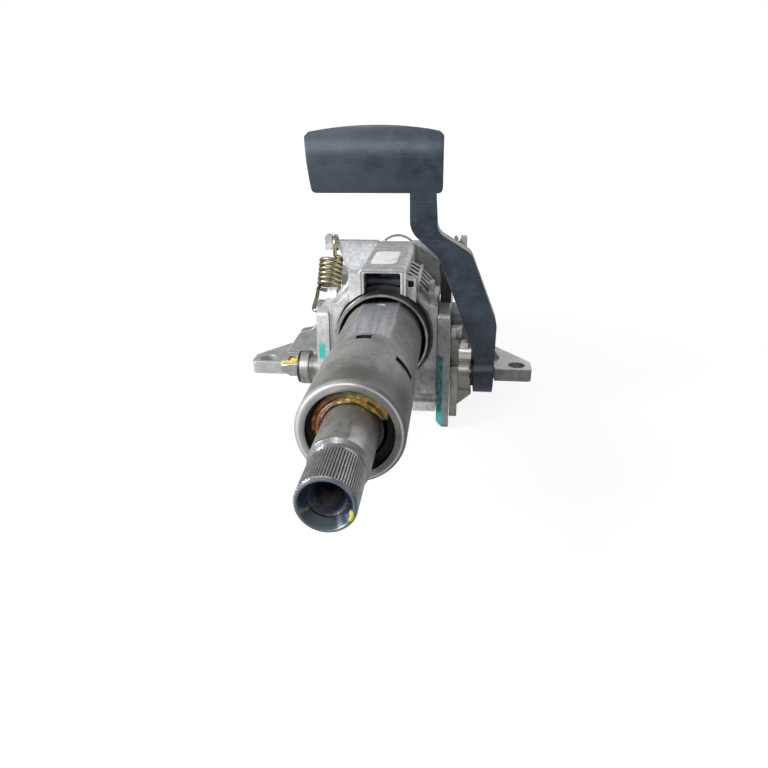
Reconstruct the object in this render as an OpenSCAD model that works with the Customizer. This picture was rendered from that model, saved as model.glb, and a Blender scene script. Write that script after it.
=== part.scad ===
// Manual tilt and telescope steering column, wheel end towards -Y, clamp lever up.
// Origin: midway between the two ear holes, on the mounting face under the ears.
// "Station" is the distance along the column from the wheel end of the shaft.
// "Height" is measured from the column axis.

/* [Main sizes] */
// Length of the whole column
column_length = 405; // [395:1:420]
// Width over the tips of the two ears
ear_width = 186.4; // [180:0.4:196]
// Height from the lowest edge of the cheeks to the crown of the lever
lever_height = 177.5; // [171:0.5:182]

/* [Frame] */
// Station of the line through the two ear holes
wheel_reach = 221; // [220:1:224]
// Height of the column axis above the mounting face
axis_z = 40; // [39:0.5:44]

/* [Steering shaft] */
// Diameter over the wheel spline
spline_d = 23; // [21:0.5:24]
// Length of the wheel spline
spline_len = 22; // [18:1:24]
// Number of spline grooves
spline_teeth = 63; // [48:1:72]
// Depth of one spline groove
spline_depth = 0.55; // [0.3:0.05:0.8]
// Half width of a spline groove for each millimetre of depth
spline_flank = 0.85; // [0.6:0.05:1]
// Diameter of the neck behind the spline
neck_d = 21.4; // [19:0.2:22]
// Length of the neck behind the spline
neck_len = 4; // [3:0.5:6]
// Diameter of the ground collar that carries the upper bearing
collar_d = 25; // [24:0.5:26]
// Station where the ground collar ends
collar_end = 80; // [76:1:90]
// Diameter of the hollow rear part of the upper shaft
hollow_d = 22.4; // [21.6:0.2:24]
// Station where the hollow part ends
hollow_end = 245; // [235:1:250]
// Minor diameter of the wheel bolt thread
wheel_bolt_d = 14.4; // [12:0.2:15]
// Depth of the wheel bolt thread
wheel_bolt_depth = 34; // [25:1:45]
// Diameter of the countersink at the shaft's wheel end
wheel_bolt_sink_d = 20; // [18:0.2:20.6]
// Depth of that countersink
wheel_bolt_sink_depth = 4; // [2:0.5:6]
// Station where the straight mark on the collar starts
mark_start = 28.5; // [27.5:0.5:32]
// Length of the mark on the collar
mark_len = 13.5; // [8:0.5:18]
// Width of the mark on the collar
mark_w = 1.4; // [0.8:0.1:2]
// Depth of the mark on the collar
mark_depth = 0.5; // [0.3:0.1:0.8]
// Angle of the mark from the top towards the lever side
mark_angle = 15.8; // [10:0.2:25]

/* [Lower shaft] */
// Diameter of the sliding part inside the hollow shaft
slider_d = 17.8; // [16:0.2:18.2]
// Width across the two flats of the sliding part
slider_flats = 14.4; // [12:0.2:15]
// Station where the sliding part starts
slider_start = 160; // [150:1:175]
// Station where the sliding part meets the bearing journal
journal_start = 300; // [296:1:305]
// Diameter of the lower bearing journal
journal_d = 20; // [19:0.5:21]
// Station where the joint end starts
joint_end_start = 345; // [342:1:355]
// Diameter of the joint end
joint_end_d = 17; // [15:0.5:18]
// Distance from the end to the pinch bolt groove
pinch_groove_back = 17; // [12:1:25]
// Radius of the pinch bolt groove
pinch_groove_r = 4.2; // [3:0.2:5]

/* [Upper tube] */
// Diameter of the bearing barrel at the wheel end
barrel_d = 48.2; // [47.6:0.2:49.4]
// Station of the barrel's wheel end
barrel_start = 54; // [52:1:56]
// Station where the barrel steps down to the tube
barrel_end = 107; // [100:1:115]
// Diameter of the sliding tube
tube_d = 46.8; // [46:0.2:47.2]
// Wall of the sliding tube
tube_wall = 2; // [1.6:0.1:2.4]
// Station where the tube ends
tube_end = 285; // [280:1:290]
// Diameter of the opening in the rolled lip
lip_d = 38.8; // [37:0.2:40]
// Length of the rolled lip
lip_len = 3.2; // [2.5:0.1:4]
// Radius of the rolled outer edge of the lip
lip_roll = 1.8; // [1:0.1:3.4]
// Height of the flat pressed into the top of the tube
flat_z = 20.9; // [20:0.1:22]
// Station where that flat starts
flat_start = 117; // [112:1:125]
// Width of the curved slot through the barrel
arc_slot_w = 4.2; // [3:0.2:6]
// Station of the middle of the curved slot
arc_slot_s = 97; // [90:1:99]
// Span of the curved slot in degrees
arc_slot_span = 30; // [20:1:40]
// Angle from the top to the middle of the curved slot
arc_slot_mid = 56; // [40:1:70]
// Offset of the square hole from the middle plane
top_hole_mid = -1.4; // [-4:0.2:4]
// Length across the tube of the square hole in the top
top_hole_x = 7.6; // [5:0.2:10]
// Length along the tube of the square hole in the top
top_hole_s = 5.5; // [4:0.5:8]
// Station of the dimple on the flat
dimple_s = 174.3; // [170:0.5:180]
// Place of the dimple across the flat
dimple_x = -0.5; // [-3:0.1:3]
// Radius of the ball that presses the dimple
dimple_ball_r = 8; // [6:0.5:10]
// Depth of the dimple
dimple_depth = 0.6; // [0.3:0.1:0.9]

/* [Bearings] */
// Outer diameter of the upper bearing
upper_bearing_d = 42; // [41:0.5:43]
// Width of the upper bearing
upper_bearing_w = 9; // [8:0.5:10]
// Station of the front of the upper bearing
upper_bearing_s = 62; // [61:0.5:66]
// Outer diameter of the lower bearing
lower_bearing_d = 37; // [36:0.5:38]
// Width of the lower bearing
lower_bearing_w = 9; // [8:0.5:10]
// Station of the front of the lower bearing
lower_bearing_s = 314; // [313:0.5:316]
// Diameter of a bearing ball
ball_d = 4.6; // [4:0.1:5]
// Number of balls in each bearing
ball_count = 12; // [8:1:13]
// Thickness of the ground bearing rings at the shoulder
ring_wall = 2.6; // [2:0.1:3]
// Width of the front grease seal
seal_w = 3; // [2:0.5:3.5]
// Span of the snap rings in degrees
snap_span = 320; // [300:2:330]
// Radial width of a snap ring inside or outside its groove
snap_reach = 2; // [1.4:0.1:2.4]
// Thickness of the snap rings
snap_w = 1.5; // [1.2:0.1:1.8]
// Depth of a snap ring groove
snap_depth = 1.2; // [0.8:0.1:1.4]

/* [Lower jacket] */
// Station of the front face of the casting
jacket_front = 182; // [180:1:184]
// Station of the rear face of the casting
jacket_rear = 338; // [336:1:342]
// Half width over the clamp pads
pad_x = 32.2; // [32:0.1:34]
// Radius of the round body behind the pads
jacket_r = 30.8; // [30:0.1:31.5]
// Radius of the bore for the guide sleeve and the bushes
jacket_bore_r = 27.4; // [27:0.1:28]
// Radius of the rear end of the casting
rear_r = 24.8; // [24:0.1:27]
// Length of the taper to the rear end
rear_taper = 9; // [6:0.5:12]
// Radial room around the tube behind the bushes
rear_play = 1.2; // [0.8:0.1:2]
// Length of the clamp pads
pad_len = 46; // [40:1:52]
// Height of the top shoulder of the pads
shoulder_z = 18.5; // [15:0.5:20]
// Height of the lowest edge of the clamp lugs
lug_z = -49; // [-51:0.5:-46]
// Inner half width between the two clamp lugs
lug_gap_x = 14; // [11:0.5:17]
// Width of the clamp slit under the bore
slit_w = 5; // [3:0.5:8]
// Thickness of the foot flange under the lugs
foot_t = 6; // [4:0.5:8]
// Height of the groove above the foot flange
foot_groove_h = 6; // [4:0.5:8]
// Depth of that groove behind the front face
foot_groove_depth = 6; // [3:0.5:10]
// Pitch of the shoulder ribs
rib_pitch = 9.5; // [8:0.5:12]
// Thickness of a shoulder rib
rib_t = 2.2; // [1.5:0.1:3]
// Number of shoulder ribs on each side
rib_count = 5; // [3:1:6]

/* [Rail] */
// Gap between the front bush and the key behind it
guide_back = 1; // [0.5:0.5:1.5]
// Length of the key on the tube
guide_len = 10; // [6:0.5:10]
// Half width over the rail box
rail_x = 13.8; // [13:0.1:15]
// Height of the top of the rail box
rail_top = 40.4; // [39:0.2:42]
// Length of the rail box in front of the casting
rail_out = 3; // [1:0.5:4]
// Station of the rear of the rail box
rail_rear = 265; // [262:1:268]
// Wall of the rail box
rail_wall = 3.2; // [2.5:0.1:3.6]
// Corner radius inside the rail box
rail_in_corner = 1.2; // [0.8:0.1:1.6]
// Thickness of the roof of the rail box
rail_roof = 2.1; // [1.8:0.1:3.2]
// Corner radius over the rail box
rail_corner = 3.4; // [2.5:0.1:5]

/* [Guide sleeve] */
// Length of the guide sleeve in front of the casting
sleeve_out = 8; // [7:0.5:10]
// Length of the guide sleeve inside the casting
sleeve_in = 22; // [16:0.5:23]
// Inner radius of the guide sleeve
sleeve_in_r = 25.5; // [25.2:0.1:26]
// Span of the open C of the guide sleeve in degrees
sleeve_span = 258; // [240:2:280]
// Outer radius of the mouth seal
mouth_seal_r = 29.8; // [29.2:0.1:30]
// Depth of the seat of the mouth seal behind the front face
mouth_seal_in = 5; // [4:0.5:7]
// Thickness of the mouth seal
mouth_seal_t = 2.4; // [1.5:0.1:3]
// Radial width of the chamfer round the mouth
mouth_chamfer = 1.8; // [1:0.1:2]
// Radius of the opening in the front of the jacket
mouth_r = 28.4; // [28:0.1:29]
// Length of one tube bush
bush_len = 18; // [14:1:20]
// Distance of the front tube bush behind the guide sleeve
bush_back = 2; // [1.5:0.5:6]
// Station of the rear tube bush
rear_bush_s = 246; // [242:1:250]

/* [Spring wings] */
// Station of the front of the wing web
wing_s = 260; // [256:1:262]
// Thickness of the wing web
wing_t = 6.5; // [5:0.5:8]
// Height of the top edge of the wing
wing_top = 41; // [39:0.5:43]
// Half width over the neck that the spring loop hangs on
neck_x = 44; // [43:0.5:46]
// Half width over the hook tips
hook_x = 49; // [47.5:0.5:52]
// Height and thickness of the hook neck
hook_neck = 5; // [4:0.2:6]

/* [Clamp] */
// Diameter of the clamp bolt
clamp_d = 8; // [7:0.5:8.4]
// Distance of the clamp bolt behind the front of the casting
clamp_back = 17; // [16:0.5:18]
// Height of the clamp bolt
clamp_z = -28.6; // [-29.6:0.1:-28.2]
// Radius of the thick washer on the nut side
disc_r = 10.8; // [10:0.1:11.4]
// Thickness of that washer
disc_t = 5.2; // [4:0.2:6]
// Length of the spacer between the cheek and that washer
spacer_len = 8.6; // [7:0.2:11]
// Thickness of the dark plain washer under the nut
washer_t = 1.7; // [1.2:0.1:2]
// Width of the clamp nut across its flats
nut_af = 12; // [11.5:0.5:14]
// Height of the clamp nut
nut_h = 7.2; // [6:0.2:9]
// Length of the bolt past the nut, without its cone
bolt_past = 4.2; // [2:0.2:6]
// Thickness of the lock plate on the lever side
plate_t = 4.8; // [4:0.1:5]
// Height of the lowest edge of the lock plate
plate_low = -56.4; // [-60:0.2:-50]
// Radius of the cam discs
cam_r = 12; // [11:0.2:13]
// Thickness of each cam disc
cam_t = 6.8; // [6:0.1:7.2]
// Thickness of the cam disc on the lever
lever_cam_t = 1.6; // [1.2:0.1:2.2]
// Height of the cam ramps
ramp_h = 0.8; // [0.4:0.1:1]
// Radius of the guide boss above the cam
cam_boss_r = 5.3; // [4:0.1:6]
// Height of that boss above the clamp bolt
cam_boss_up = 14.5; // [13:0.5:16]

/* [Lever] */
// Width of the lever foot along the bolt
lever_foot_w = 11.8; // [10:0.2:13]
// Radius of the lever foot around the bolt
lever_foot_r = 12.4; // [11.5:0.2:14]
// Half width of the lever arm in the side view
lever_half_s = 9; // [7:0.5:11]
// Left end of the handle
handle_left = -42; // [-48:1:-38]
// Right end of the handle
handle_right = 33.4; // [32:0.2:38]
// Height of the handle's face at its ends
handle_h = 32; // [29:0.5:36]
// Rise of the upper edge in the middle
handle_crown = 3; // [1:0.5:5]
// Radius of the curved front face of the handle
handle_face_r = 55; // [45:1:70]
// Thickness of the handle blade
handle_t = 8; // [6:0.5:10]
// Station of the middle of the handle's front face
handle_s = 181; // [179:0.5:184]

/* [Bracket] */
// Inner half width between the two cheeks
cheek_in = 32.5; // [32.5:0.1:34.5]
// Thickness of a cheek
cheek_t = 7.7; // [6.5:0.1:9]
// Length of the cheeks in front of the casting
cheek_lead = 2; // [0:0.5:4]
// Height of the front top edge of the cheeks
cheek_top = 14; // [11:0.5:16]
// Height of the lowest edge of the cheeks
cheek_low = -60.5; // [-64:0.5:-58]
// Height of the top of the arm under the tilt springs
arm_top = 0; // [-3:0.5:2]
// Station where the deep part of the cheeks ends
cheek_back = 290; // [284:1:296]
// Thickness of an ear
ear_t = 8.4; // [7:0.2:10]
// Distance of the front edge of the ears behind the clamp bolt
ear_back = 14; // [13.5:0.1:14.2]
// Depth of the relief for the lever foot in the lever side ear
ear_relief = 4; // [3:0.5:5]
// Half distance between the two ear holes
ear_hole_x = 83.6; // [80:0.2:86]
// Diameter of an ear hole
ear_hole_d = 11; // [9:0.5:12]
// Thickness of the gusset behind an ear
gusset_t = 8; // [6:0.5:10]
// Station of the front of the gusset
gusset_s = 232; // [228:1:238]
// Thickness of the bridge between the cheeks
bridge_t = 6; // [4:0.5:8]
// Station where the bridge starts
bridge_s = 238; // [236:1:245]

/* [Tilt] */
// Station of the tilt pivot
pivot_s = 322; // [319:1:325]
// Height of the tilt pivot
pivot_z = 0; // [-2:0.5:2]
// Tilt either way from the middle, in degrees
tilt_deg = 3.5; // [2:0.1:4]
// Diameter of a pivot bolt
pivot_d = 12; // [10:0.5:13]
// Wall of a pivot bush
pivot_bush_wall = 2; // [1.5:0.1:3]
// Radius of the bracket around the pivot
pivot_eye_r = 14; // [13:0.5:16]
// Height of a pivot bolt head
pivot_head_h = 6.5; // [5:0.5:8]
// Width of a pivot bolt head across its flats
pivot_head_af = 18; // [16:1:20]

/* [Tilt springs] */
// Diameter of the spring wire
wire_d = 2.7; // [2:0.1:2.9]
// Mean radius of the coil
coil_r = 7.2; // [6:0.1:7.5]
// Number of turns
coil_turns = 6.67; // [5:0.01:8]
// Distance of the coil axis from the middle plane
coil_x = 45.4; // [45.2:0.1:46.4]

/* [Clearances] */
// Play between faces that slide on each other
slide_gap = 0.3; // [0.2:0.05:0.5]
// Play between two seated pieces
seat_gap = 0.05; // [0.02:0.01:0.1]
// Radial play of the tube in its bushes and of the pivots
run_gap = 0.05; // [0.03:0.01:0.1]
// Play around the bolt in a slot
slot_gap = 0.4; // [0.3:0.05:0.6]

/* [Hidden] */
$fn = 64;
CAST = [0.72, 0.73, 0.74];
STEEL = [0.55, 0.55, 0.54];
BRIGHT = [0.78, 0.79, 0.80];
BLACK = [0.09, 0.10, 0.12];
BRASS = [0.66, 0.58, 0.34];

// Places that follow from the main sizes and from the front of the casting
joint_end_stop = column_length;
ear_x = ear_width / 2;
handle_high = cheek_low + lever_height - handle_crown;
handle_low = handle_high - handle_h;
rail_front = jacket_front - rail_out;
sleeve_front = jacket_front - sleeve_out;
sleeve_end = jacket_front + sleeve_in;
front_bush_s = sleeve_end + bush_back;
guide_s = front_bush_s + bush_len + guide_back;
pad_end = jacket_front + pad_len;
clamp_s = jacket_front + clamp_back;
cheek_front = jacket_front - cheek_lead;
ear_front = clamp_s + ear_back;

cheek_out = cheek_in + cheek_t;
shaft_r = collar_d / 2;
barrel_r = barrel_d / 2;
tube_r = tube_d / 2;
bush_r = jacket_bore_r - seat_gap;
seat_r = upper_bearing_d / 2 + seat_gap;
neck_end = spline_len + neck_len;
upper_bearing_end = upper_bearing_s + upper_bearing_w;
lower_bearing_end = lower_bearing_s + lower_bearing_w;
body_end = lower_bearing_s - 4;
rail_in_x = rail_x - rail_wall;
rail_in_top = rail_top - rail_roof;
bush_bore_r = tube_r + run_gap;
pivot_bush_r = pivot_d / 2 + run_gap + pivot_bush_wall;
pivot_bush_in = jacket_bore_r - 3;
ear_top = ear_t - axis_z;
ear_low = -axis_z;

// Stack on the nut side, from the cheek outwards
spacer_out = cheek_out + slide_gap + spacer_len;
disc_out = spacer_out + seat_gap + disc_t;
washer_out = disc_out + seat_gap + washer_t;
nut_out = washer_out + seat_gap + nut_h;

// Stack on the lever side, from the cheek outwards
plate_in = cheek_out + slide_gap;
cam_in = plate_in + plate_t + seat_gap;
cam_out = cam_in + cam_t;
lever_cam_in = cam_out + ramp_h + slide_gap;
lever_cam_out = lever_cam_in + lever_cam_t;
foot_in = lever_cam_out + seat_gap;
foot_out = foot_in + lever_foot_w;
lever_cam_r = cam_boss_up - cam_boss_r - 0.6;
bolt_cone = 1;
bolt_head_h = 5;
bolt_head_r = 6.6;
bolt_head_in = foot_out - bolt_head_h - 1;

// Tilt slot: the path of the clamp bolt about the tilt pivot
slot_r = norm([clamp_s - pivot_s, clamp_z - pivot_z]);
slot_angle = atan2(clamp_z - pivot_z, clamp_s - pivot_s);
slot_half_w = clamp_d / 2 + slot_gap;
slot_half_deg = tilt_deg + 0.3;

// Spring ends: the hook neck on the jacket and the hole in the bracket boss
hook_s = wing_s + wing_t / 2;
hook_z = wing_top - hook_neck / 2;
boss_s = ear_front + 1;
boss_z = 5;
boss_x = cheek_out + 6;

// Outline helpers

function unit(v) = v / norm(v);

// Points of one corner p, rounded to radius r between its neighbours a and b
function round_corner(a, p, b, r, n = 5) =
    let (u = unit(a - p), v = unit(b - p))
    let (half = acos(max(-1, min(1, u * v))) / 2)
    let (c = p + unit(u + v) * r / sin(half), s = p + u * r / tan(half), e = p + v * r / tan(half))
    let (a0 = atan2(s[1] - c[1], s[0] - c[0]), a1 = atan2(e[1] - c[1], e[0] - c[0]))
    let (turn = a1 - a0 > 180 ? a1 - a0 - 360 : a1 - a0 < -180 ? a1 - a0 + 360 : a1 - a0)
    [for (i = [0:n]) c + r * [cos(a0 + turn * i / n), sin(a0 + turn * i / n)]];

// Closed outline from corners [x, y, radius]
function rounded(q) = [for (i = [0:len(q) - 1])
    let (p = [q[i][0], q[i][1]], j = (i + len(q) - 1) % len(q), k = (i + 1) % len(q))
    each q[i][2] == 0 ? [p] : round_corner([q[j][0], q[j][1]], p, [q[k][0], q[k][1]], q[i][2])];

// Placing helpers

module column(s = 0) translate([0, s - wheel_reach, axis_z]) children();

// Turned work: the local z axis runs along the column
module turned(s = 0) column(s) rotate([-90, 0, 0]) children();

module ring(s0, s1, ro, ri) turned(s0) difference() {
    cylinder(h = s1 - s0, r = ro);
    translate([0, 0, -1]) cylinder(h = s1 - s0 + 2, r = ri);
}

// Outline in [x, height], extruded along the column
module along(s0, s1) column(s1) rotate([90, 0, 0]) linear_extrude(s1 - s0) children();

// Outline in [station, height], extruded across the column
module across(x0, x1) column() translate([x0, 0, 0]) rotate([90, 0, 90]) linear_extrude(x1 - x0) children();

// Outline in [x, station], extruded upwards
module plan(z0, z1) column() translate([0, 0, z0]) linear_extrude(z1 - z0) children();

// Round bar across the column
module cross_rod(x0, x1, s, z, r) column(s) translate([x0, 0, z])
    rotate([0, 90, 0]) cylinder(h = x1 - x0, r = r);

module cross_washer(x0, x1, s, z, ro, ri) difference() {
    cross_rod(x0, x1, s, z, ro);
    cross_rod(x0 - 1, x1 + 1, s, z, ri);
}

module cross_hex(x0, x1, s, z, af) column(s) translate([x0, 0, z]) rotate([0, 90, 0])
    cylinder(h = x1 - x0, r = af / 2 / cos(30), $fn = 6);

module block(x0, x1, s0, s1, z0, z1) column(s0) translate([x0, 0, z0]) cube([x1 - x0, s1 - s0, z1 - z0]);

module both_sides() {
    children();
    mirror([1, 0, 0]) children();
}

// Open ring with a gap of the given angle centred downwards
module open_ring(s0, s1, ro, ri, span) turned(s0) rotate([0, 0, -90 - span / 2])
    rotate_extrude(angle = span) translate([ri, 0]) square([ro - ri, s1 - s0]);

// Bracket

module cheek_front_outline() polygon(rounded([
    [cheek_in, cheek_low + 6, 3], [cheek_in + 4.5, cheek_low, 1], [cheek_out, cheek_low, 1.5],
    [cheek_out, -6, 20], [cheek_out - 1, cheek_top + 8, 1], [cheek_in + 1.5, cheek_top + 8, 1],
    [cheek_in, cheek_top - 2, 3]]));

module cheek_side_outline() {
    polygon(rounded([
        [cheek_front, cheek_low, 5], [cheek_front, cheek_top, 2.5], [boss_s - 2.6, cheek_top, 1],
        [boss_s + 1, cheek_top + 5, 3], [boss_s + 8, cheek_top + 5, 4], [boss_s + 17, arm_top, 6],
        [pivot_s - 30, arm_top + 4, 20], [pivot_s, pivot_z + pivot_eye_r, 0],
        [pivot_s, pivot_z - pivot_eye_r, 0],
        [cheek_back + 6, cheek_low + 22, 8], [cheek_back, cheek_low, 6]]));
    translate([pivot_s, pivot_z]) circle(r = pivot_eye_r);
}

module cheek_window_outline() polygon(rounded([
    [boss_s + 36, ear_top + 5, 3], [boss_s + 34, arm_top - 9, 3], [pivot_s - 24, arm_top - 7, 3],
    [pivot_s - 30, arm_top - 18, 5]]));

module ear_outline() polygon(rounded([
    [cheek_out - 3, ear_front, 0], [ear_x, ear_front, 3], [ear_x, ear_front + 13, 5],
    [ear_x - 5, ear_front + 21, 5], [ear_x - 19, ear_front + 40, 8], [ear_x - 24, ear_front + 48, 6],
    [cheek_out - 3, ear_front + 52, 0]]));

module gusset_outline() polygon(rounded([
    [cheek_out - 3, ear_low + 2, 0], [ear_x - 20, ear_low + 2, 0], [ear_x - 20, ear_top + 1, 2],
    [ear_x - 30, -16, 5], [ear_x - 38, -14.5, 5], [ear_x - 43, -9, 4], [cheek_out + 3, arm_top + 3, 4],
    [cheek_out - 3, arm_top + 4, 0]]));

ear_block_x = 8.4;
ear_block_h = 13.4;

// Block in the front corner between an ear and its cheek
module ear_block_outline() polygon(rounded([
    [cheek_out - 3, ear_top - 1, 0], [cheek_out + ear_block_x, ear_top - 1, 0],
    [cheek_out + ear_block_x, ear_top + ear_block_h, 4], [cheek_out - 3, ear_top + ear_block_h, 0]]));

module tilt_slot() {
    column(pivot_s) translate([cheek_in - 1, 0, pivot_z]) rotate([90, 0, 90])
        rotate([0, 0, slot_angle - slot_half_deg]) rotate_extrude(angle = 2 * slot_half_deg)
        translate([slot_r - slot_half_w, 0]) square([2 * slot_half_w, cheek_t + 2]);
    for (side = [-1, 1])
        let (a = slot_angle + side * slot_half_deg)
        cross_rod(cheek_in - 1, cheek_out + 1, pivot_s + slot_r * cos(a), pivot_z + slot_r * sin(a),
            slot_half_w);
}

module spring_boss() across(cheek_out - 3, boss_x) polygon(rounded([
    [boss_s - 5, boss_z - 8, 2], [boss_s - 5, boss_z + 4, 4], [boss_s + 8, boss_z + 6, 4],
    [boss_s + 14, boss_z - 8, 2]]));

module mounting_bracket() color(CAST) difference() {
    union() {
        both_sides() {
            intersection() {
                across(cheek_in - 1, cheek_out + 1) cheek_side_outline();
                along(cheek_front - 1, pivot_s + pivot_eye_r + 1) cheek_front_outline();
            }
            plan(ear_low, ear_top) ear_outline();
            along(gusset_s, gusset_s + gusset_t) gusset_outline();
            along(ear_front + 1, ear_front + 10) ear_block_outline();
            spring_boss();
        }
        block(-cheek_in - 2, cheek_in + 2, bridge_s, cheek_back - 8, cheek_low, cheek_low + bridge_t);
    }
    both_sides() {
        tilt_slot();
        across(cheek_in - 1, cheek_out + 1) cheek_window_outline();
        cross_rod(cheek_in - 1, cheek_out + 1, pivot_s, pivot_z, pivot_d / 2 + seat_gap);
        cross_rod(cheek_out + 1, boss_x + 1, boss_s, boss_z, wire_d / 2 + slot_gap);
        column(wheel_reach) translate([ear_hole_x, 0, ear_low - 1]) cylinder(h = ear_t + 2, d = ear_hole_d);
    }
    block(foot_in - 2, foot_out + 2.5, ear_front - 1, ear_front + ear_relief, ear_low - 1, ear_top + 1);
}

// Rubber stop that the lever arm swings back against
module lever_bumper() color(BLACK) along(boss_s - 7.2, boss_s - 3.4) polygon(rounded([
    [cheek_in + 0.8, cheek_top, 0], [cheek_out - 0.6, cheek_top, 0], [cheek_out - 0.6, cheek_top + 13, 6],
    [cheek_in + 3, cheek_top + 25, 2], [cheek_in - 1, cheek_top + 24.5, 2],
    [cheek_in + 0.5, cheek_top + 14, 6]]));

module pivot_bolts() color(STEEL) both_sides() {
    cross_rod(pivot_bush_in + 0.5, cheek_out + 1, pivot_s, pivot_z, pivot_d / 2);
    cross_rod(cheek_out + seat_gap, cheek_out + 2, pivot_s, pivot_z, pivot_head_af / 2 + 1);
    cross_hex(cheek_out + 1, cheek_out + 1 + pivot_head_h, pivot_s, pivot_z, pivot_head_af);
}

// Springs

loop_r = norm([hook_neck, hook_neck]) / 2 + wire_d / 2 + slide_gap;
coil_drop = 10.4;
coil_lean = 0.6;
coil_reach = 38.5;
coil_rise = 4.4;
coil_start_angle = 120;
coil_top = [coil_x, hook_s + 1, hook_z - coil_drop];
coil_foot = [coil_x + coil_lean, boss_s + coil_reach, boss_z + coil_rise];
coil_len = norm(coil_foot - coil_top);
coil_dir = (coil_foot - coil_top) / coil_len;
coil_u = unit(cross([0, coil_dir[2], -coil_dir[1]], coil_dir));
coil_v = cross(coil_dir, coil_u);
wire_sides = 8;
turn_steps = 16;
coil_steps = round(coil_turns * turn_steps);

// Loop over the hook neck, coil, and leg that ends in the boss hole
function spring_path() = concat(
    [for (i = [0:10]) let (a = -60 + 24 * i)
        [neck_x - 2.4, hook_s + loop_r * cos(a), hook_z + loop_r * sin(a)]],
    [for (i = [0:coil_steps])
        let (t = i / coil_steps, a = 360 * coil_turns * t + coil_start_angle)
        coil_top + coil_dir * coil_len * t + coil_r * (coil_u * cos(a) + coil_v * sin(a))],
    [[boss_x + 3.4, boss_s + 14, boss_z + 4], [boss_x + 3.2, boss_s + 4, boss_z + 1],
     [boss_x + 2.4, boss_s + 1, boss_z], [boss_x, boss_s, boss_z], [boss_x - 3, boss_s, boss_z]]);

function path_tangent(p, i) = unit(p[min(i + 1, len(p) - 1)] - p[max(i - 1, 0)]);

// Frame vectors carried along the path without twist
function path_normals(p) = [for (
        i = 0, n = unit(cross(path_tangent(p, 0), [1, 0.2, 0.1]));
        i < len(p);
        i = i + 1,
        n = i < len(p) ? let (t = path_tangent(p, i)) unit(n - (n * t) * t) : n) n];

module swept_wire(p, r) {
    normals = path_normals(p);
    rings = len(p);
    points = [for (i = [0:rings - 1])
        let (t = path_tangent(p, i), n = normals[i], b = cross(t, n))
        for (k = [0:wire_sides - 1])
            p[i] + r * (n * cos(360 * k / wire_sides) + b * sin(360 * k / wire_sides))];
    walls = [for (i = [0:rings - 2]) for (k = [0:wire_sides - 1])
        let (k2 = (k + 1) % wire_sides, a = i * wire_sides)
        [a + k, a + wire_sides + k, a + wire_sides + k2, a + k2]];
    ends = [[for (k = [0:wire_sides - 1]) k],
        [for (k = [wire_sides - 1:-1:0]) (rings - 1) * wire_sides + k]];
    polyhedron(points, concat(walls, ends));
}

module tilt_spring_right() color(BRASS) column() swept_wire(spring_path(), wire_d / 2);

module tilt_spring_left() color(BRASS) mirror([1, 0, 0]) column() swept_wire(spring_path(), wire_d / 2);

// Lower jacket

module pad_outline() polygon(rounded([
    [-pad_x, lug_z, 1.5], [-pad_x, shoulder_z, 2], [-pad_x + 5, shoulder_z + 1, 2],
    [-rail_x, jacket_r + 1, 3], [rail_x, jacket_r + 1, 3], [pad_x - 5, shoulder_z + 1, 2],
    [pad_x, shoulder_z, 2], [pad_x, lug_z, 1.5], [lug_gap_x, lug_z, 1.5],
    [lug_gap_x, -jacket_bore_r - 3, 2], [-lug_gap_x, -jacket_bore_r - 3, 2], [-lug_gap_x, lug_z, 1.5]]));

module rail_outline(x, top, low, r) polygon(rounded([
    [-x, low, 0], [-x, top, r], [x, top, r], [x, low, 0]]));

module wing_outline() polygon(rounded([
    [rail_x - 2, wing_top, 0], [neck_x - hook_neck, wing_top, 0],
    [neck_x - hook_neck, wing_top - hook_neck, 2],
    [jacket_r + 3, shoulder_z + 2, 10], [jacket_r - 2, 4, 3], [rail_x - 2, 24, 0]]));

module hook() {
    block(neck_x - hook_neck - 1, neck_x, hook_s - hook_neck / 2, hook_s + hook_neck / 2,
        wing_top - hook_neck, wing_top);
    along(hook_s - hook_neck / 2, hook_s + hook_neck / 2) polygon(rounded([
        [neck_x - 0.2, wing_top - hook_neck - 1.5, 1], [neck_x - 0.2, wing_top + 3.5, 1.5],
        [hook_x, wing_top + 4.5, 2], [hook_x, wing_top - hook_neck - 1.5, 1]]));
}

// Shoulder rib between the rail box and the top of the pads
module rib_outline() polygon([
    [rail_x - 1, jacket_r - 6], [rail_x - 1, rail_top - 6], [rail_x + 6, jacket_r - 0.5],
    [pad_x - 4, shoulder_z + 3], [pad_x - 4, shoulder_z - 4]]);

module shoulder_ribs() {
    for (i = [0:rib_count - 1])
        along(jacket_front + 10 + i * rib_pitch, jacket_front + 10 + i * rib_pitch + rib_t) rib_outline();
    block(rail_x + 5, rail_x + 7, jacket_front + 3, jacket_front + 10 + rib_count * rib_pitch,
        jacket_r - 8, jacket_r - 0.5);
}

// Stepped stop block on top of the lever side pad
module stepped_shoulder() for (i = [0:2])
    block(pad_x - 6, pad_x - 2.9, jacket_front + 2 + 7 * i, jacket_front + 9.2 + 7 * i,
        shoulder_z - 6, shoulder_z + 1 + 4.5 * i);

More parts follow.
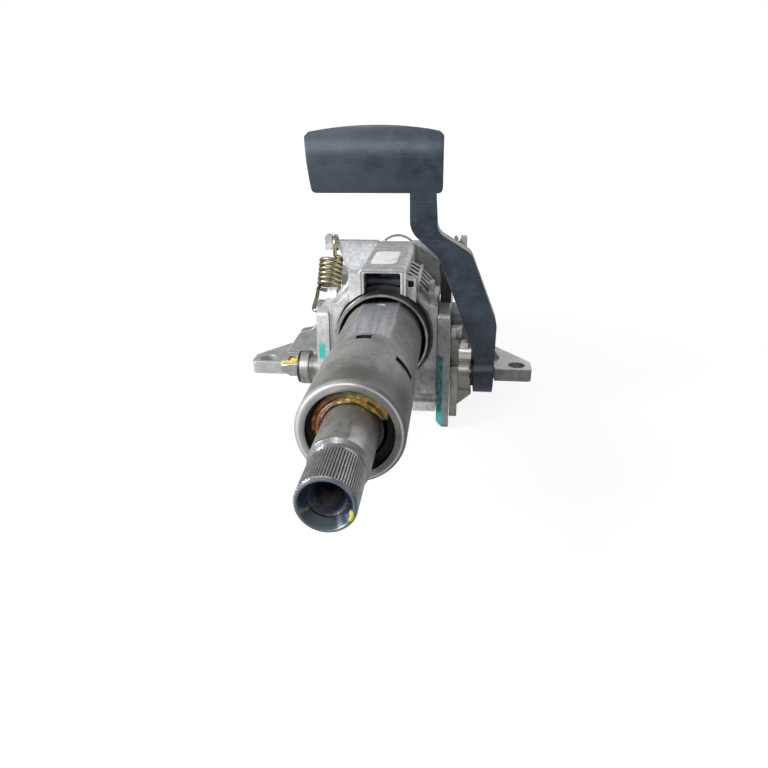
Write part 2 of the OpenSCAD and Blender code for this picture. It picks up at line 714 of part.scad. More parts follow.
module lower_jacket_body() {
    along(jacket_front, pad_end) pad_outline();
    turned(pad_end - 8) cylinder(h = body_end - pad_end + 8, r = jacket_r);
    turned(body_end) cylinder(h = rear_taper, r1 = jacket_r, r2 = rear_r);
    turned(body_end + rear_taper - 1) cylinder(h = jacket_rear - body_end - rear_taper + 1, r = rear_r);
    along(rail_front, rail_rear) rail_outline(rail_x, rail_top, jacket_bore_r - 6, rail_corner);
    block(-rail_x - 5.8, -rail_x + 1, jacket_front - 2, jacket_front + 8, shoulder_z, rail_top - 3);
    block(rail_x - 1, rail_x + 5.8, jacket_front - 1, jacket_front + 7, shoulder_z, rail_top - 5.6);
    both_sides() {
        along(wing_s, wing_s + wing_t) wing_outline();
        hook();
        shoulder_ribs();
        cross_rod(0, pad_x, pivot_s, pivot_z, pivot_bush_r + 4.5);
    }
    stepped_shoulder();
}

module lower_jacket() color(CAST) difference() {
    lower_jacket_body();
    turned(sleeve_front) cylinder(h = rear_bush_s + bush_len + seat_gap - sleeve_front, r = jacket_bore_r);
    turned(sleeve_front) cylinder(h = lower_bearing_s - 2 - sleeve_front, r = tube_r + rear_play);
    turned(sleeve_front) cylinder(h = jacket_front + mouth_seal_in - sleeve_front, r = mouth_r);
    turned(jacket_front + mouth_seal_in - mouth_seal_t - seat_gap)
        cylinder(h = mouth_seal_t + seat_gap, r = mouth_seal_r + seat_gap);
    turned(jacket_front - seat_gap) cylinder(h = mouth_chamfer, r1 = mouth_r + mouth_chamfer, r2 = mouth_r);
    turned(lower_bearing_s - 3) cylinder(h = lower_bearing_w + 3, r = lower_bearing_d / 2 + seat_gap);
    turned(lower_bearing_s - snap_w - 2 * seat_gap)
        cylinder(h = snap_w + 2 * seat_gap, r = lower_bearing_d / 2 + snap_depth + seat_gap);
    turned(lower_bearing_end - 1)
        cylinder(h = jacket_rear - lower_bearing_end + 2, r = lower_bearing_d / 2 - ring_wall);
    along(rail_front - 1, rail_rear - 4) rail_outline(rail_in_x, rail_in_top, 0, rail_in_corner);
    block(-slit_w / 2, slit_w / 2, jacket_front - 1, pad_end + 14, -jacket_r - 8, 0);
    cross_rod(-pad_x - 1, pad_x + 1, clamp_s, clamp_z, clamp_d / 2 + slot_gap);
    both_sides() {
        cross_rod(pivot_bush_in, pad_x + 1, pivot_s, pivot_z, pivot_bush_r + seat_gap);
        block(lug_gap_x - 1, pad_x + 1, jacket_front - 1, jacket_front + foot_groove_depth,
            lug_z + foot_t, lug_z + foot_t + foot_groove_h);
    }
    block(rail_x + 1, rail_x + 4.4, jacket_front - 2, jacket_front + 5, jacket_r - 0.8, jacket_r + 2.8);
}

module pivot_bushes() color(BLACK) both_sides()
    cross_washer(pivot_bush_in + seat_gap, pad_x, pivot_s, pivot_z, pivot_bush_r, pivot_d / 2 + run_gap);

// Guides of the sliding tube

module mouth_seal() color(BLACK) ring(jacket_front + mouth_seal_in - mouth_seal_t,
    jacket_front + mouth_seal_in - seat_gap, mouth_seal_r, jacket_bore_r);

module guide_sleeve() color(BRIGHT) open_ring(sleeve_front, sleeve_end, bush_r, sleeve_in_r, sleeve_span);

// Bush that is open at the top, where the key runs
module tube_bush(s) color(BLACK) difference() {
    ring(s, s + bush_len, bush_r, bush_bore_r);
    block(-rail_in_x - 1, rail_in_x + 1, s - 1, s + bush_len + 1, 0, jacket_r);
}

module front_bush() tube_bush(front_bush_s);

module rear_bush() tube_bush(rear_bush_s);

stop_r = 3.2;
stop_s = jacket_front + mouth_seal_in + stop_r + 0.6;
stop_z = bush_r + stop_r + slot_gap;
stop_len = 12;

// Cross bar in the mouth of the rail that ends the tube's way out
module telescope_stop() color(BLACK) {
    cross_rod(-rail_in_x + seat_gap, rail_in_x - seat_gap, stop_s, stop_z, stop_r);
    across(-rail_in_x + seat_gap, rail_in_x - seat_gap) polygon(rounded([
        [stop_s, stop_z - 2.6, 0], [stop_s + stop_len, stop_z - 2.6, 1],
        [stop_s + stop_len, rail_in_top - rail_in_corner, 1],
        [stop_s + 4, rail_in_top - rail_in_corner, 1], [stop_s, stop_z + 2.6, 0]]));
    across(-2, rail_in_x - 1.5) polygon(rounded([
        [stop_s + 6, stop_z, 0], [stop_s + 6, rail_in_top - 0.5, 0], [stop_s - 1, rail_in_top - 0.5, 1],
        [stop_s - 1, stop_z + 2, 0]]));
}

// Key on the tube's flat that runs in the rail and keeps the tube from turning
module telescope_guide() color(BLACK) across(-rail_in_x + slide_gap, rail_in_x - slide_gap) polygon(rounded([
    [guide_s, flat_z, 0], [guide_s, rail_in_top - rail_in_corner, 2],
    [guide_s + guide_len, rail_in_top - rail_in_corner, 2], [guide_s + guide_len, flat_z, 0]]));

clip_x = 1.5;
clip_z = rail_top - 9.9;
clip_r = 14.2;
clip_t = 1.2;
clip_w = 3;
clip_leg_x = 8.7;
clip_leg_t = 1.4;
clip_leg_h = 6;

// Outside of the clip, seen from the front: an arch on two straight legs
module clip_outline() {
    intersection() {
        translate([clip_x, clip_z]) circle(r = clip_r);
        translate([clip_x - clip_r, rail_top]) square(2 * clip_r);
    }
    translate([clip_x - clip_leg_x - clip_leg_t, rail_top - clip_leg_h])
        square([2 * clip_leg_x + 2 * clip_leg_t, clip_leg_h + 0.3]);
}

// Arched clip on the rear face of the rail box
module rail_end_clip() color(BRIGHT) along(rail_rear, rail_rear + clip_w) difference() {
    clip_outline();
    intersection() {
        translate([clip_x, clip_z]) circle(r = clip_r - clip_t);
        translate([clip_x - clip_leg_x, rail_top - clip_r]) square([2 * clip_leg_x, 2 * clip_r]);
    }
}

// Clamp

module clamp_bolt() color(STEEL) {
    cross_rod(-nut_out - bolt_past, bolt_head_in + 1, clamp_s, clamp_z, clamp_d / 2);
    column(clamp_s) translate([-nut_out - bolt_past - bolt_cone, 0, clamp_z]) rotate([0, 90, 0])
        cylinder(h = bolt_cone + seat_gap, r1 = clamp_d / 2 - bolt_cone, r2 = clamp_d / 2);
    cross_hex(bolt_head_in, bolt_head_in + bolt_head_h, clamp_s, clamp_z, 2 * bolt_head_r * cos(30));
}

module on_bolt(x0, x1, r) cross_washer(-x1, -x0, clamp_s, clamp_z, r, clamp_d / 2 + seat_gap);

module slot_spacer() color(STEEL) on_bolt(cheek_out + slide_gap, spacer_out, disc_r - 3);

module thick_washer() color(BRIGHT) on_bolt(spacer_out + seat_gap, disc_out, disc_r);

module nut_washer() color(BLACK) on_bolt(disc_out + seat_gap, washer_out, disc_r - 0.6);

module clamp_nut() color(BRIGHT) difference() {
    cross_hex(-nut_out, -washer_out - seat_gap, clamp_s, clamp_z, nut_af);
    cross_rod(-nut_out - 1, -washer_out, clamp_s, clamp_z, clamp_d / 2 + seat_gap);
}

plate_step_up = 6.5;
tab_x = 6.5;
tab_t = 1.4;
tab_low = clamp_z + cam_r + 9;

// Plate that is pressed on the lever side cheek: a wide tail below, a narrow neck and a folded tab above
module lock_plate() color(STEEL) difference() {
    union() {
        across(plate_in, plate_in + plate_t) polygon(rounded([
            [clamp_s - 9, plate_low, 2], [clamp_s - 9, clamp_z + plate_step_up, 1],
            [clamp_s + 0.5, clamp_z + plate_step_up, 0], [clamp_s + 0.5, 0, 1], [clamp_s + 7, 0, 2],
            [clamp_s + 7, plate_low, 2]]));
        block(plate_in, plate_in + tab_x, clamp_s + 3, clamp_s + 7, tab_low, 0);
    }
    cross_rod(plate_in - 1, plate_in + plate_t + 1, clamp_s, clamp_z, clamp_d / 2 + seat_gap);
    block(plate_in + 3, plate_in + tab_x - tab_t, clamp_s, clamp_s + 5, tab_low - 1, -tab_t);
}

module ramp_ring(x) for (i = [0:3])
    column(clamp_s) translate([x - 0.2, 0, clamp_z]) rotate([i * 90, 0, 0]) rotate([90, 0, 90])
    rotate_extrude(angle = 48) translate([cam_r - 5, 0]) square([4.4, ramp_h + 0.2]);

cam_lobe_half = 7;
cam_lobe_drop = 7.5;
cam_lobe_out = 1.8;
cam_lug_up = 21.6;

// Lobe under the fixed cam, seen from the front
module cam_lobe_outline() polygon([
    [cam_in, clamp_z], [cam_out, clamp_z], [cam_out, clamp_z - cam_r + 2.6],
    [cam_out + cam_lobe_out, clamp_z - cam_r], [cam_in, clamp_z - cam_r - cam_lobe_drop]]);

module fixed_cam() color(STEEL) difference() {
    union() {
        cross_rod(cam_in, cam_out, clamp_s, clamp_z, cam_r);
        ramp_ring(cam_out);
        cross_rod(cam_in, cam_out + ramp_h, clamp_s - 4, clamp_z + cam_boss_up, cam_boss_r);
        block(cam_in + 1, cam_out - 1.4, clamp_s - 7, clamp_s - 1,
            clamp_z + cam_boss_up, clamp_z + cam_lug_up);
        along(clamp_s - cam_lobe_half, clamp_s + cam_lobe_half) cam_lobe_outline();
    }
    cross_rod(cam_in - 1, cam_out + 2, clamp_s, clamp_z, clamp_d / 2 + seat_gap);
}

module lever_cam() color(STEEL) cross_washer(lever_cam_in, lever_cam_out, clamp_s, clamp_z,
    lever_cam_r, clamp_d / 2 + slide_gap);

// Lever

module lever_front_outline() polygon(rounded([
    [15.3, handle_low + 3, 0], [15.3, handle_low - 21, 13], [32, handle_low - 36.5, 12],
    [foot_in - 1.4, -9, 20],
    [foot_in, clamp_z + lever_cam_r + 1, 0], [foot_in, clamp_z - lever_foot_r, 2.5],
    [foot_out, clamp_z - lever_foot_r, 2.5], [foot_out + 0.6, 6, 12],
    [50.5, handle_low - 33.5, 9], [31, handle_low - 21.5, 8], [29.7, handle_low + 3, 0]]));

module lever_side_outline() {
    translate([clamp_s, clamp_z]) circle(r = lever_foot_r);
    polygon(rounded([
        [clamp_s - lever_half_s, clamp_z, 0], [clamp_s - lever_half_s - 1.5, handle_low - 42, 40],
        [handle_s + 2.4, handle_low + 3, 0], [handle_s + 11.4, handle_low + 3, 0],
        [clamp_s + lever_half_s - 6, handle_low - 42, 40], [clamp_s + lever_half_s, clamp_z, 0]]));
}

handle_mid_z = (handle_low + handle_high + handle_crown) / 2;
crown_steps = 12;

module handle_outline() polygon(concat(
    rounded([[handle_left, handle_high - 2.4, 0], [handle_left + 0.8, handle_high - 14, 20],
        [handle_left + 2.6, handle_low, 2.5], [handle_right, handle_low, 2.5],
        [handle_right, handle_high - 2.4, 0], [handle_right - 2.4, handle_high, 2]]),
    [for (i = [1:crown_steps - 1]) let (t = i / crown_steps)
        [handle_right - 2.4 - t * (handle_right - handle_left - 4.8),
         handle_high + 4 * handle_crown * t * (1 - t)]],
    [[handle_left + 2.4, handle_high]]));

module handle_side_outline() translate([handle_s + handle_face_r, handle_mid_z]) difference() {
    circle(r = handle_face_r, $fn = 128);
    circle(r = handle_face_r - handle_t, $fn = 128);
}

module clamp_lever() color(BLACK) difference() {
    union() {
        intersection() {
            along(clamp_s - 30, clamp_s + 30) lever_front_outline();
            across(-60, 90) lever_side_outline();
        }
        intersection() {
            along(handle_s - 2, handle_s + 20) handle_outline();
            across(-60, 60) handle_side_outline();
        }
    }
    cross_rod(foot_in - 1, foot_out + 1, clamp_s, clamp_z, clamp_d / 2 + slide_gap);
    cross_rod(bolt_head_in - slide_gap, foot_out + 2, clamp_s, clamp_z, bolt_head_r + 2);
}

// Upper tube

// Round section with a flat pressed into its top
module pressed_outline(r, top) intersection() {
    circle(r = r);
    translate([-r, -r]) square([2 * r, r + top]);
}

module tube_shell() {
    turned(barrel_start) rotate_extrude() polygon(rounded([
        [0, 0, 0], [barrel_r, 0, lip_roll], [barrel_r, barrel_end - barrel_start, 0.5],
        [tube_r, barrel_end - barrel_start + 2, 0.5], [tube_r, flat_start - barrel_start, 0],
        [0, flat_start - barrel_start, 0]]));
    along(flat_start - 1, tube_end) pressed_outline(tube_r, flat_z);
}

module upper_tube() color(STEEL) difference() {
    tube_shell();
    turned(barrel_start - 1) cylinder(h = lip_len + 2, d = lip_d);
    turned(barrel_start + lip_len) cylinder(h = flat_start - barrel_start - lip_len - tube_wall, r = seat_r);
    turned(upper_bearing_end + seat_gap) cylinder(h = snap_w + seat_gap, r = seat_r + snap_depth);
    along(flat_start - tube_wall - 1, tube_end + 1) pressed_outline(tube_r - tube_wall, flat_z - tube_wall);
    turned(arc_slot_s - arc_slot_w / 2) rotate([0, 0, arc_slot_mid - 90 - arc_slot_span / 2])
        rotate_extrude(angle = arc_slot_span)
        translate([seat_r - 4, 0]) square([barrel_r - seat_r + 5, arc_slot_w]);
    block(top_hole_mid - top_hole_x / 2, top_hole_mid + top_hole_x / 2, barrel_end + 2,
        barrel_end + 2 + top_hole_s, tube_r - tube_wall - 6, tube_r + 2);
    column(dimple_s) translate([dimple_x, 0, flat_z + dimple_ball_r - dimple_depth])
        sphere(r = dimple_ball_r);
}

// Bearings

module balls(s, pitch_r) turned(s) for (i = [0:ball_count - 1])
    rotate([0, 0, 360 * i / ball_count]) translate([pitch_r, 0, 0]) sphere(d = ball_d);

// Ring with a raceway groove; the groove clears the balls by the given play
module race(s, w, ro, ri, pitch_r, play) turned(s) difference() {
    cylinder(h = w, r = ro);
    translate([0, 0, -1]) cylinder(h = w + 2, r = ri);
    translate([0, 0, w / 2]) rotate_extrude() translate([pitch_r, 0]) circle(r = ball_d / 2 + play);
}

upper_pitch_r = (upper_bearing_d / 2 + shaft_r) / 2;
lower_pitch_r = (lower_bearing_d + journal_d) / 4;

module upper_outer_ring() color(BRIGHT) race(upper_bearing_s, upper_bearing_w, upper_bearing_d / 2,
    upper_bearing_d / 2 - ring_wall, upper_pitch_r, seat_gap);

module upper_balls() color(BRIGHT) balls(upper_bearing_s + upper_bearing_w / 2, upper_pitch_r);

module upper_inner_ring() color(BRIGHT) race(upper_bearing_s, upper_bearing_w, shaft_r + ring_wall,
    shaft_r + seat_gap, upper_pitch_r, slide_gap);

module grease_seal() color(BLACK) ring(upper_bearing_s - seal_w - seat_gap, upper_bearing_s - seat_gap,
    upper_bearing_d / 2, shaft_r + ring_wall + 1.4);

module wedge_ring() color(BLACK) turned(upper_bearing_s - 4.5) difference() {
    cylinder(h = 4.5 - seat_gap, r1 = shaft_r + 1.6, r2 = shaft_r + ring_wall);
    translate([0, 0, -1]) cylinder(h = 7, r = shaft_r + seat_gap);
}

module upper_snap_ring() color(STEEL) open_ring(upper_bearing_end + 2 * seat_gap,
    upper_bearing_end + snap_w, seat_r + snap_depth - seat_gap, seat_r - snap_reach, snap_span);

module lower_outer_ring() color(BRIGHT) race(lower_bearing_s, lower_bearing_w - seat_gap, lower_bearing_d / 2,
    lower_bearing_d / 2 - ring_wall, lower_pitch_r, seat_gap);

module lower_balls() color(BRIGHT) balls(lower_bearing_s + (lower_bearing_w - seat_gap) / 2, lower_pitch_r);

module lower_inner_ring() color(BRIGHT) race(lower_bearing_s, lower_bearing_w - seat_gap,
    journal_d / 2 + ring_wall, journal_d / 2 + seat_gap, lower_pitch_r, slide_gap);

module lower_snap_ring() color(STEEL) open_ring(lower_bearing_s - snap_w - seat_gap,
    lower_bearing_s - seat_gap, lower_bearing_d / 2 + snap_depth,
    lower_bearing_d / 2 - snap_reach, snap_span);

// Shafts

module spline_outline() difference() {
    circle(d = spline_d);
    for (i = [0:spline_teeth - 1]) rotate(360 * i / spline_teeth) translate([spline_d / 2, 0])
        polygon([[-spline_depth, 0], [0.3, spline_depth * spline_flank],
            [0.3, -spline_depth * spline_flank]]);
}

// Round section with two flats
module flatted_outline(d, flats) intersection() {
    circle(d = d);
    square([d + 2, flats], center = true);
}

module upper_shaft() color(STEEL) difference() {
    union() {
        turned(1) linear_extrude(spline_len - 1) spline_outline();
        turned() cylinder(h = 1.4, d1 = spline_d - 1.6, d2 = spline_d - 0.6);
        turned(1) cylinder(h = neck_end, d = neck_d);
        turned(neck_end) cylinder(h = 1, d1 = neck_d, d2 = collar_d);
        turned(neck_end + 1) cylinder(h = collar_end - neck_end - 1, d = collar_d);
        turned(collar_end - 1) cylinder(h = hollow_end - collar_end + 1, d = hollow_d);
    }
    turned(-1) cylinder(h = wheel_bolt_depth + 1, d = wheel_bolt_d);
    turned(-0.01) cylinder(h = wheel_bolt_sink_depth, d1 = wheel_bolt_sink_d, d2 = wheel_bolt_d);
    turned(slider_start - 60) linear_extrude(hollow_end - slider_start + 61)
        flatted_outline(slider_d + 2 * slide_gap, slider_flats + 2 * slide_gap);
    column() rotate([0, mark_angle, 0]) translate([-mark_w / 2, mark_start, shaft_r - mark_depth])
        cube([mark_w, mark_len, mark_depth + 1]);
}

module lower_shaft() color(STEEL) difference() {
    union() {
        turned(slider_start) linear_extrude(journal_start - slider_start + 1)
            flatted_outline(slider_d, slider_flats);
        turned(journal_start) cylinder(h = joint_end_start - journal_start, d = journal_d);
        turned(journal_start) cylinder(h = lower_bearing_s - seat_gap - journal_start, d = journal_d + 3);
        turned(joint_end_start - 1) cylinder(h = joint_end_stop - joint_end_start, d = joint_end_d);
        turned(joint_end_stop - 1.01) cylinder(h = 1.01, d1 = joint_end_d, d2 = joint_end_d - 2);
    }
    turned(lower_bearing_end) rotate_extrude()
        translate([journal_d / 2 - snap_depth, 0]) square([4, snap_w + 2 * seat_gap]);
    cross_rod(-joint_end_d, joint_end_d, joint_end_stop - pinch_groove_back,
        joint_end_d / 2 + 1, pinch_groove_r);
}

module shaft_snap_ring() color(STEEL) open_ring(
    lower_bearing_end + seat_gap, lower_bearing_end + seat_gap + snap_w,
    journal_d / 2 + snap_reach, journal_d / 2 - snap_depth + seat_gap, snap_span);

mounting_bracket();
lever_bumper();
pivot_bolts();
tilt_spring_left();
tilt_spring_right();
lower_jacket();
pivot_bushes();
mouth_seal();
guide_sleeve();
front_bush();
rear_bush();
telescope_stop();
rail_end_clip();
clamp_bolt();
slot_spacer();
thick_washer();
nut_washer();
clamp_nut();
lock_plate();
fixed_cam();
lower_outer_ring();
lower_balls();
lower_snap_ring();
clamp_lever();
lever_cam();
upper_tube();
telescope_guide();
grease_seal();
upper_outer_ring();
upper_balls();
upper_snap_ring();
upper_shaft();
wedge_ring();
upper_inner_ring();
lower_shaft();
lower_inner_ring();
shaft_snap_ring();
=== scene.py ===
"""Looks of a tilt and telescope steering column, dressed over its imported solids.

Places are typed in millimetres as X across the column, station along it from the splined end, and
height above its axis. The function spot turns them into metres in the frame of the solids.
"""

import bpy
import numpy as np
from mathutils import Matrix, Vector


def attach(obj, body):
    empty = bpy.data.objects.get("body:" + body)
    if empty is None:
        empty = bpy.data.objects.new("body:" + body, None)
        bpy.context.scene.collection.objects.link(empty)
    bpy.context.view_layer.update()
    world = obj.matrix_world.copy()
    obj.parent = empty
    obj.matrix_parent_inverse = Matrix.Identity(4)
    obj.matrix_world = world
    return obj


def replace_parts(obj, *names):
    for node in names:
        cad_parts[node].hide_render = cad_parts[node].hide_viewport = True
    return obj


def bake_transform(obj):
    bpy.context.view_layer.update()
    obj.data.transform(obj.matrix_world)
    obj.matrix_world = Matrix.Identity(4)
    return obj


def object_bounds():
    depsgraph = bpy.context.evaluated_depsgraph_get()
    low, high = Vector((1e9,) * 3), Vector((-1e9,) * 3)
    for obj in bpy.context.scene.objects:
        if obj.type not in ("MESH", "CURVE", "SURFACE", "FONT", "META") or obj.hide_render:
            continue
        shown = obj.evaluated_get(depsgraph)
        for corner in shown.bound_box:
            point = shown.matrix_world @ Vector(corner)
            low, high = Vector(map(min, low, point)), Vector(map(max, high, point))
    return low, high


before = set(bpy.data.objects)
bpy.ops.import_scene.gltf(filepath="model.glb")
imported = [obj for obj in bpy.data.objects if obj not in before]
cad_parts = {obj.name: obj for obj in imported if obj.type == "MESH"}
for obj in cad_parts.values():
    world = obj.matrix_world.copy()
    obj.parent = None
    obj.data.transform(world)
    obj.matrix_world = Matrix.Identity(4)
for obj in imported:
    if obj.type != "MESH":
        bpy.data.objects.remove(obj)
cad_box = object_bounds()

MM = 0.001
SPLINE_END_Y = -221.0
AXIS_Z = 40.0
FULL_TURN = 2.0 * np.pi


# Shapes

def spot(x, station, height):
    """Points in metres: station is shifted to y, height above the axis to z, and all are scaled."""
    x, station, height = np.broadcast_arrays(x, station, height)
    return np.stack([x, station + SPLINE_END_Y, height + AXIS_Z], axis=-1) * MM


def unit(vectors):
    """Vectors divided by their own lengths."""
    return vectors / np.linalg.norm(vectors, axis=-1, keepdims=True)


def smooth_path(knots, steps):
    """Catmull-Rom curve: each span between two knots is a cubic whose end slopes are half the
    difference of the neighbouring knots."""
    padded = np.vstack([2 * knots[0] - knots[1], knots, 2 * knots[-1] - knots[-2]])
    before, start, stop, after = (padded[i:len(padded) - 3 + i, None] for i in range(4))
    t = np.linspace(0.0, 1.0, steps, endpoint=False)[:, None]
    curve = 0.5 * (2 * start + (stop - before) * t
                   + (2 * before - 5 * start + 4 * stop - after) * t ** 2
                   + (3 * start - before - 3 * stop + after) * t ** 3)
    return np.vstack([curve.reshape(-1, 3), knots[-1:]])


def grid_piece(name, points, wrap_rows=False, wrap_columns=False, cap_rows=False, sharp_degrees=40.0):
    """Mesh of a grid of points: four neighbours make one face.

    A wrapped direction joins its last line to its first. Capped rows close both ends of a tube with
    a fan round the middle of its end ring. The faces are turned round if the sum of the signed
    volumes over them is negative, so they point outwards.
    """
    rows, columns = points.shape[:2]
    index = np.arange(rows * columns).reshape(rows, columns)
    if wrap_rows:
        index = np.vstack([index, index[:1]])
    if wrap_columns:
        index = np.hstack([index, index[:, :1]])
    quads = np.stack([index[:-1, :-1], index[:-1, 1:], index[1:, 1:], index[1:, :-1]], axis=-1)
    quads = quads.reshape(-1, 4)
    corners = points.reshape(-1, 3)
    fans = np.zeros((0, 3), dtype=int)
    if cap_rows:
        middle = len(corners)
        corners = np.vstack([corners, points[0].mean(axis=0), points[-1].mean(axis=0)])
        first = np.stack([index[0, 1:], index[0, :-1], np.full(columns, middle)], axis=-1)
        last = np.stack([index[-1, :-1], index[-1, 1:], np.full(columns, middle + 1)], axis=-1)
        fans = np.vstack([first, last])
    centre = corners.mean(axis=0)
    triangles = np.vstack([quads[:, [0, 1, 2]], quads[:, [0, 2, 3]], fans])
    a, b, c = (corners[triangles[:, i]] - centre for i in range(3))
    if np.einsum("ij,ij->i", a, np.cross(b, c)).sum() < 0.0:
        quads, fans = quads[:, ::-1], fans[:, ::-1]
    mesh = bpy.data.meshes.new(name)
    mesh.from_pydata(corners.tolist(), [], quads.tolist() + fans.tolist())
    mesh.shade_smooth()
    mesh.set_sharp_from_angle(angle=np.radians(sharp_degrees))
    piece = bpy.data.objects.new(name, mesh)
    bpy.context.scene.collection.objects.link(piece)
    return piece


def turned_piece(name, radii, stations, sides=144, sharp_degrees=40.0):
    """Closed section of radii and stations carried round the column axis."""
    turn = np.linspace(0.0, FULL_TURN, sides, endpoint=False)[:, None]
    points = spot(radii * np.sin(turn), stations, radii * np.cos(turn))
    return grid_piece(name, points, wrap_rows=True, wrap_columns=True, sharp_degrees=sharp_degrees)


def swept_wire(name, path, radius, side, sides=14):
    """Round wire: at each point of the path a circle lies across the tangent, its first spoke at
    right angles to the tangent and to the side direction."""
    tangent = unit(np.gradient(path, axis=0))
    spoke = unit(np.cross(tangent, side))
    other = np.cross(spoke, tangent)
    turn = np.linspace(0.0, FULL_TURN, sides, endpoint=False)[None, :, None]
    ring = path[:, None] + radius * (np.cos(turn) * spoke[:, None] + np.sin(turn) * other[:, None])
    return grid_piece(name, ring, wrap_columns=True, cap_rows=True)


# Finishes

class Finish:
    """A procedural finish: a Principled shader fed by patterns that read Object coordinates in mm."""

    def __init__(self, name, **sockets):
        self.material = bpy.data.materials.new(name)
        self.material.use_nodes = True
        self.tree = self.material.node_tree
        self.shader = self.tree.nodes["Principled BSDF"]
        for socket, value in sockets.items():
            self.shader.inputs[socket.replace("_", " ")].default_value = value
        coordinates = self.node("ShaderNodeTexCoord").outputs["Object"]
        shift = self.node("ShaderNodeVectorMath", operation="MULTIPLY_ADD")
        self.feed(shift.inputs[0], coordinates)
        shift.inputs[1].default_value = (1.0 / MM, 1.0 / MM, 1.0 / MM)
        shift.inputs[2].default_value = (0.0, -SPLINE_END_Y, -AXIS_Z)
        self.place = shift.outputs[0]
        split = self.node("ShaderNodeSeparateXYZ")
        self.feed(split.inputs[0], self.place)
        self.x, self.station, self.height = split.outputs

    def node(self, kind, **settings):
        """New node of a kind, with its settings."""
        node = self.tree.nodes.new(kind)
        for setting, value in settings.items():
            setattr(node, setting, value)
        return node

    def feed(self, socket, value):
        """Gives a socket a link from another node's output, or a number or colour of its own."""
        if isinstance(value, bpy.types.NodeSocket):
            self.tree.links.new(value, socket)
        elif isinstance(value, tuple) and len(value) == 3 and socket.type == "RGBA":
            socket.default_value = (*value, 1.0)
        else:
            socket.default_value = value

    def math(self, operation, first, second=0.0, clamp=False):
        """One sum on numbers or patterns; clamp keeps it between nought and one."""
        node = self.node("ShaderNodeMath", operation=operation, use_clamp=clamp)
        self.feed(node.inputs[0], first)
        self.feed(node.inputs[1], second)
        return node.outputs[0]

    def scaled(self, pattern, factor):
        """Pattern times a number."""
        return self.math("MULTIPLY", pattern, factor)

    def swing(self, pattern, span):
        """Pattern moved to swing about nought over a span in millimetres."""
        return self.scaled(self.math("SUBTRACT", pattern, 0.5), span)

    def step(self, value, low, high):
        """Nought at low, one at high, with a smooth rise between; high may be below low."""
        node = self.node("ShaderNodeMapRange", interpolation_type="SMOOTHSTEP")
        flipped = high < low
        self.feed(node.inputs[0], value)
        node.inputs[1].default_value, node.inputs[2].default_value = sorted((low, high))
        node.inputs[3].default_value, node.inputs[4].default_value = (1.0, 0.0) if flipped else (0.0, 1.0)
        return node.outputs[0]

    def band(self, value, low, high, soft):
        """One between low and high, fading to nought over soft on each side."""
        rise = self.step(value, low - soft, low + soft)
        fall = self.step(value, high + soft, high - soft)
        return self.math("MULTIPLY", rise, fall)

    def all_of(self, *masks):
        """Mask where all the masks hold: their product."""
        result = masks[0]
        for mask in masks[1:]:
            result = self.math("MULTIPLY", result, mask)
        return result

    def any_of(self, *masks):
        """Mask where one of the masks holds: the largest of them."""
        result = masks[0]
        for mask in masks[1:]:
            result = self.math("MAXIMUM", result, mask)
        return result

    def mix(self, share, first, second):
        """Colour that goes from first to second as share goes from nought to one."""
        node = self.node("ShaderNodeMix", data_type="RGBA")
        self.feed(node.inputs[0], share)
        self.feed(node.inputs[6], first)
        self.feed(node.inputs[7], second)
        return node.outputs[2]

    def over(self, colour, mask, share, coat):
        """Colour with a share of a second one laid over it where the mask is one."""
        return self.mix(self.scaled(mask, share), colour, coat)

    def blend(self, share, first, second):
        """Number that goes from first to second as share goes from nought to one."""
        node = self.node("ShaderNodeMix", data_type="FLOAT")
        self.feed(node.inputs[0], share)
        self.feed(node.inputs[2], first)
        self.feed(node.inputs[3], second)
        return node.outputs[0]

    def stretched(self, across, along, up, place=None):
        """Coordinates multiplied per axis, to draw a pattern out along one of them."""
        node = self.node("ShaderNodeVectorMath", operation="MULTIPLY")
        self.feed(node.inputs[0], place or self.place)
        node.inputs[1].default_value = (across, along, up)
        return node.outputs[0]

    def round_column(self, radius):
        """Coordinates unrolled from the column: arc length at the radius, station, distance from axis."""
        angle = self.math("ARCTAN2", self.x, self.height)
        arc = self.scaled(angle, radius)
        join = self.node("ShaderNodeCombineXYZ")
        self.feed(join.inputs[0], arc)
        self.feed(join.inputs[1], self.station)
        self.feed(join.inputs[2], self.radius())
        return join.outputs[0]

    def radius(self):
        """Distance from the column's axis."""
        squares = self.math("ADD", self.math("MULTIPLY", self.x, self.x),
                            self.math("MULTIPLY", self.height, self.height))
        return self.math("SQRT", squares)

    def noise(self, size, detail=3.0, rough=0.55, place=None):
        """Cloudy pattern whose lumps are about size millimetres across."""
        node = self.node("ShaderNodeTexNoise")
        self.feed(node.inputs["Vector"], place or self.place)
        node.inputs["Scale"].default_value = 1.0 / size
        node.inputs["Detail"].default_value = detail
        node.inputs["Roughness"].default_value = rough
        return node.outputs["Fac"]

    def cells(self, size):
        """Distance from the nearest of scattered points about size millimetres apart."""
        node = self.node("ShaderNodeTexVoronoi")
        self.feed(node.inputs["Vector"], self.place)
        node.inputs["Scale"].default_value = 1.0 / size
        return node.outputs["Distance"]

    def rounded(self, radius):
        """Normal of the surface with its edges rounded to the radius in millimetres."""
        node = self.node("ShaderNodeBevel", samples=4)
        node.inputs["Radius"].default_value = radius * MM
        return node.outputs[0]

    def edges(self, normal):
        """One along sharp edges: how far the rounded normal leans from the true one."""
        geometry = self.node("ShaderNodeNewGeometry")
        lean = self.node("ShaderNodeVectorMath", operation="DOT_PRODUCT")
        self.feed(lean.inputs[0], normal)
        self.feed(lean.inputs[1], geometry.outputs["Normal"])
        return self.step(self.math("SUBTRACT", 1.0, lean.outputs["Value"]), 0.02, 0.25)

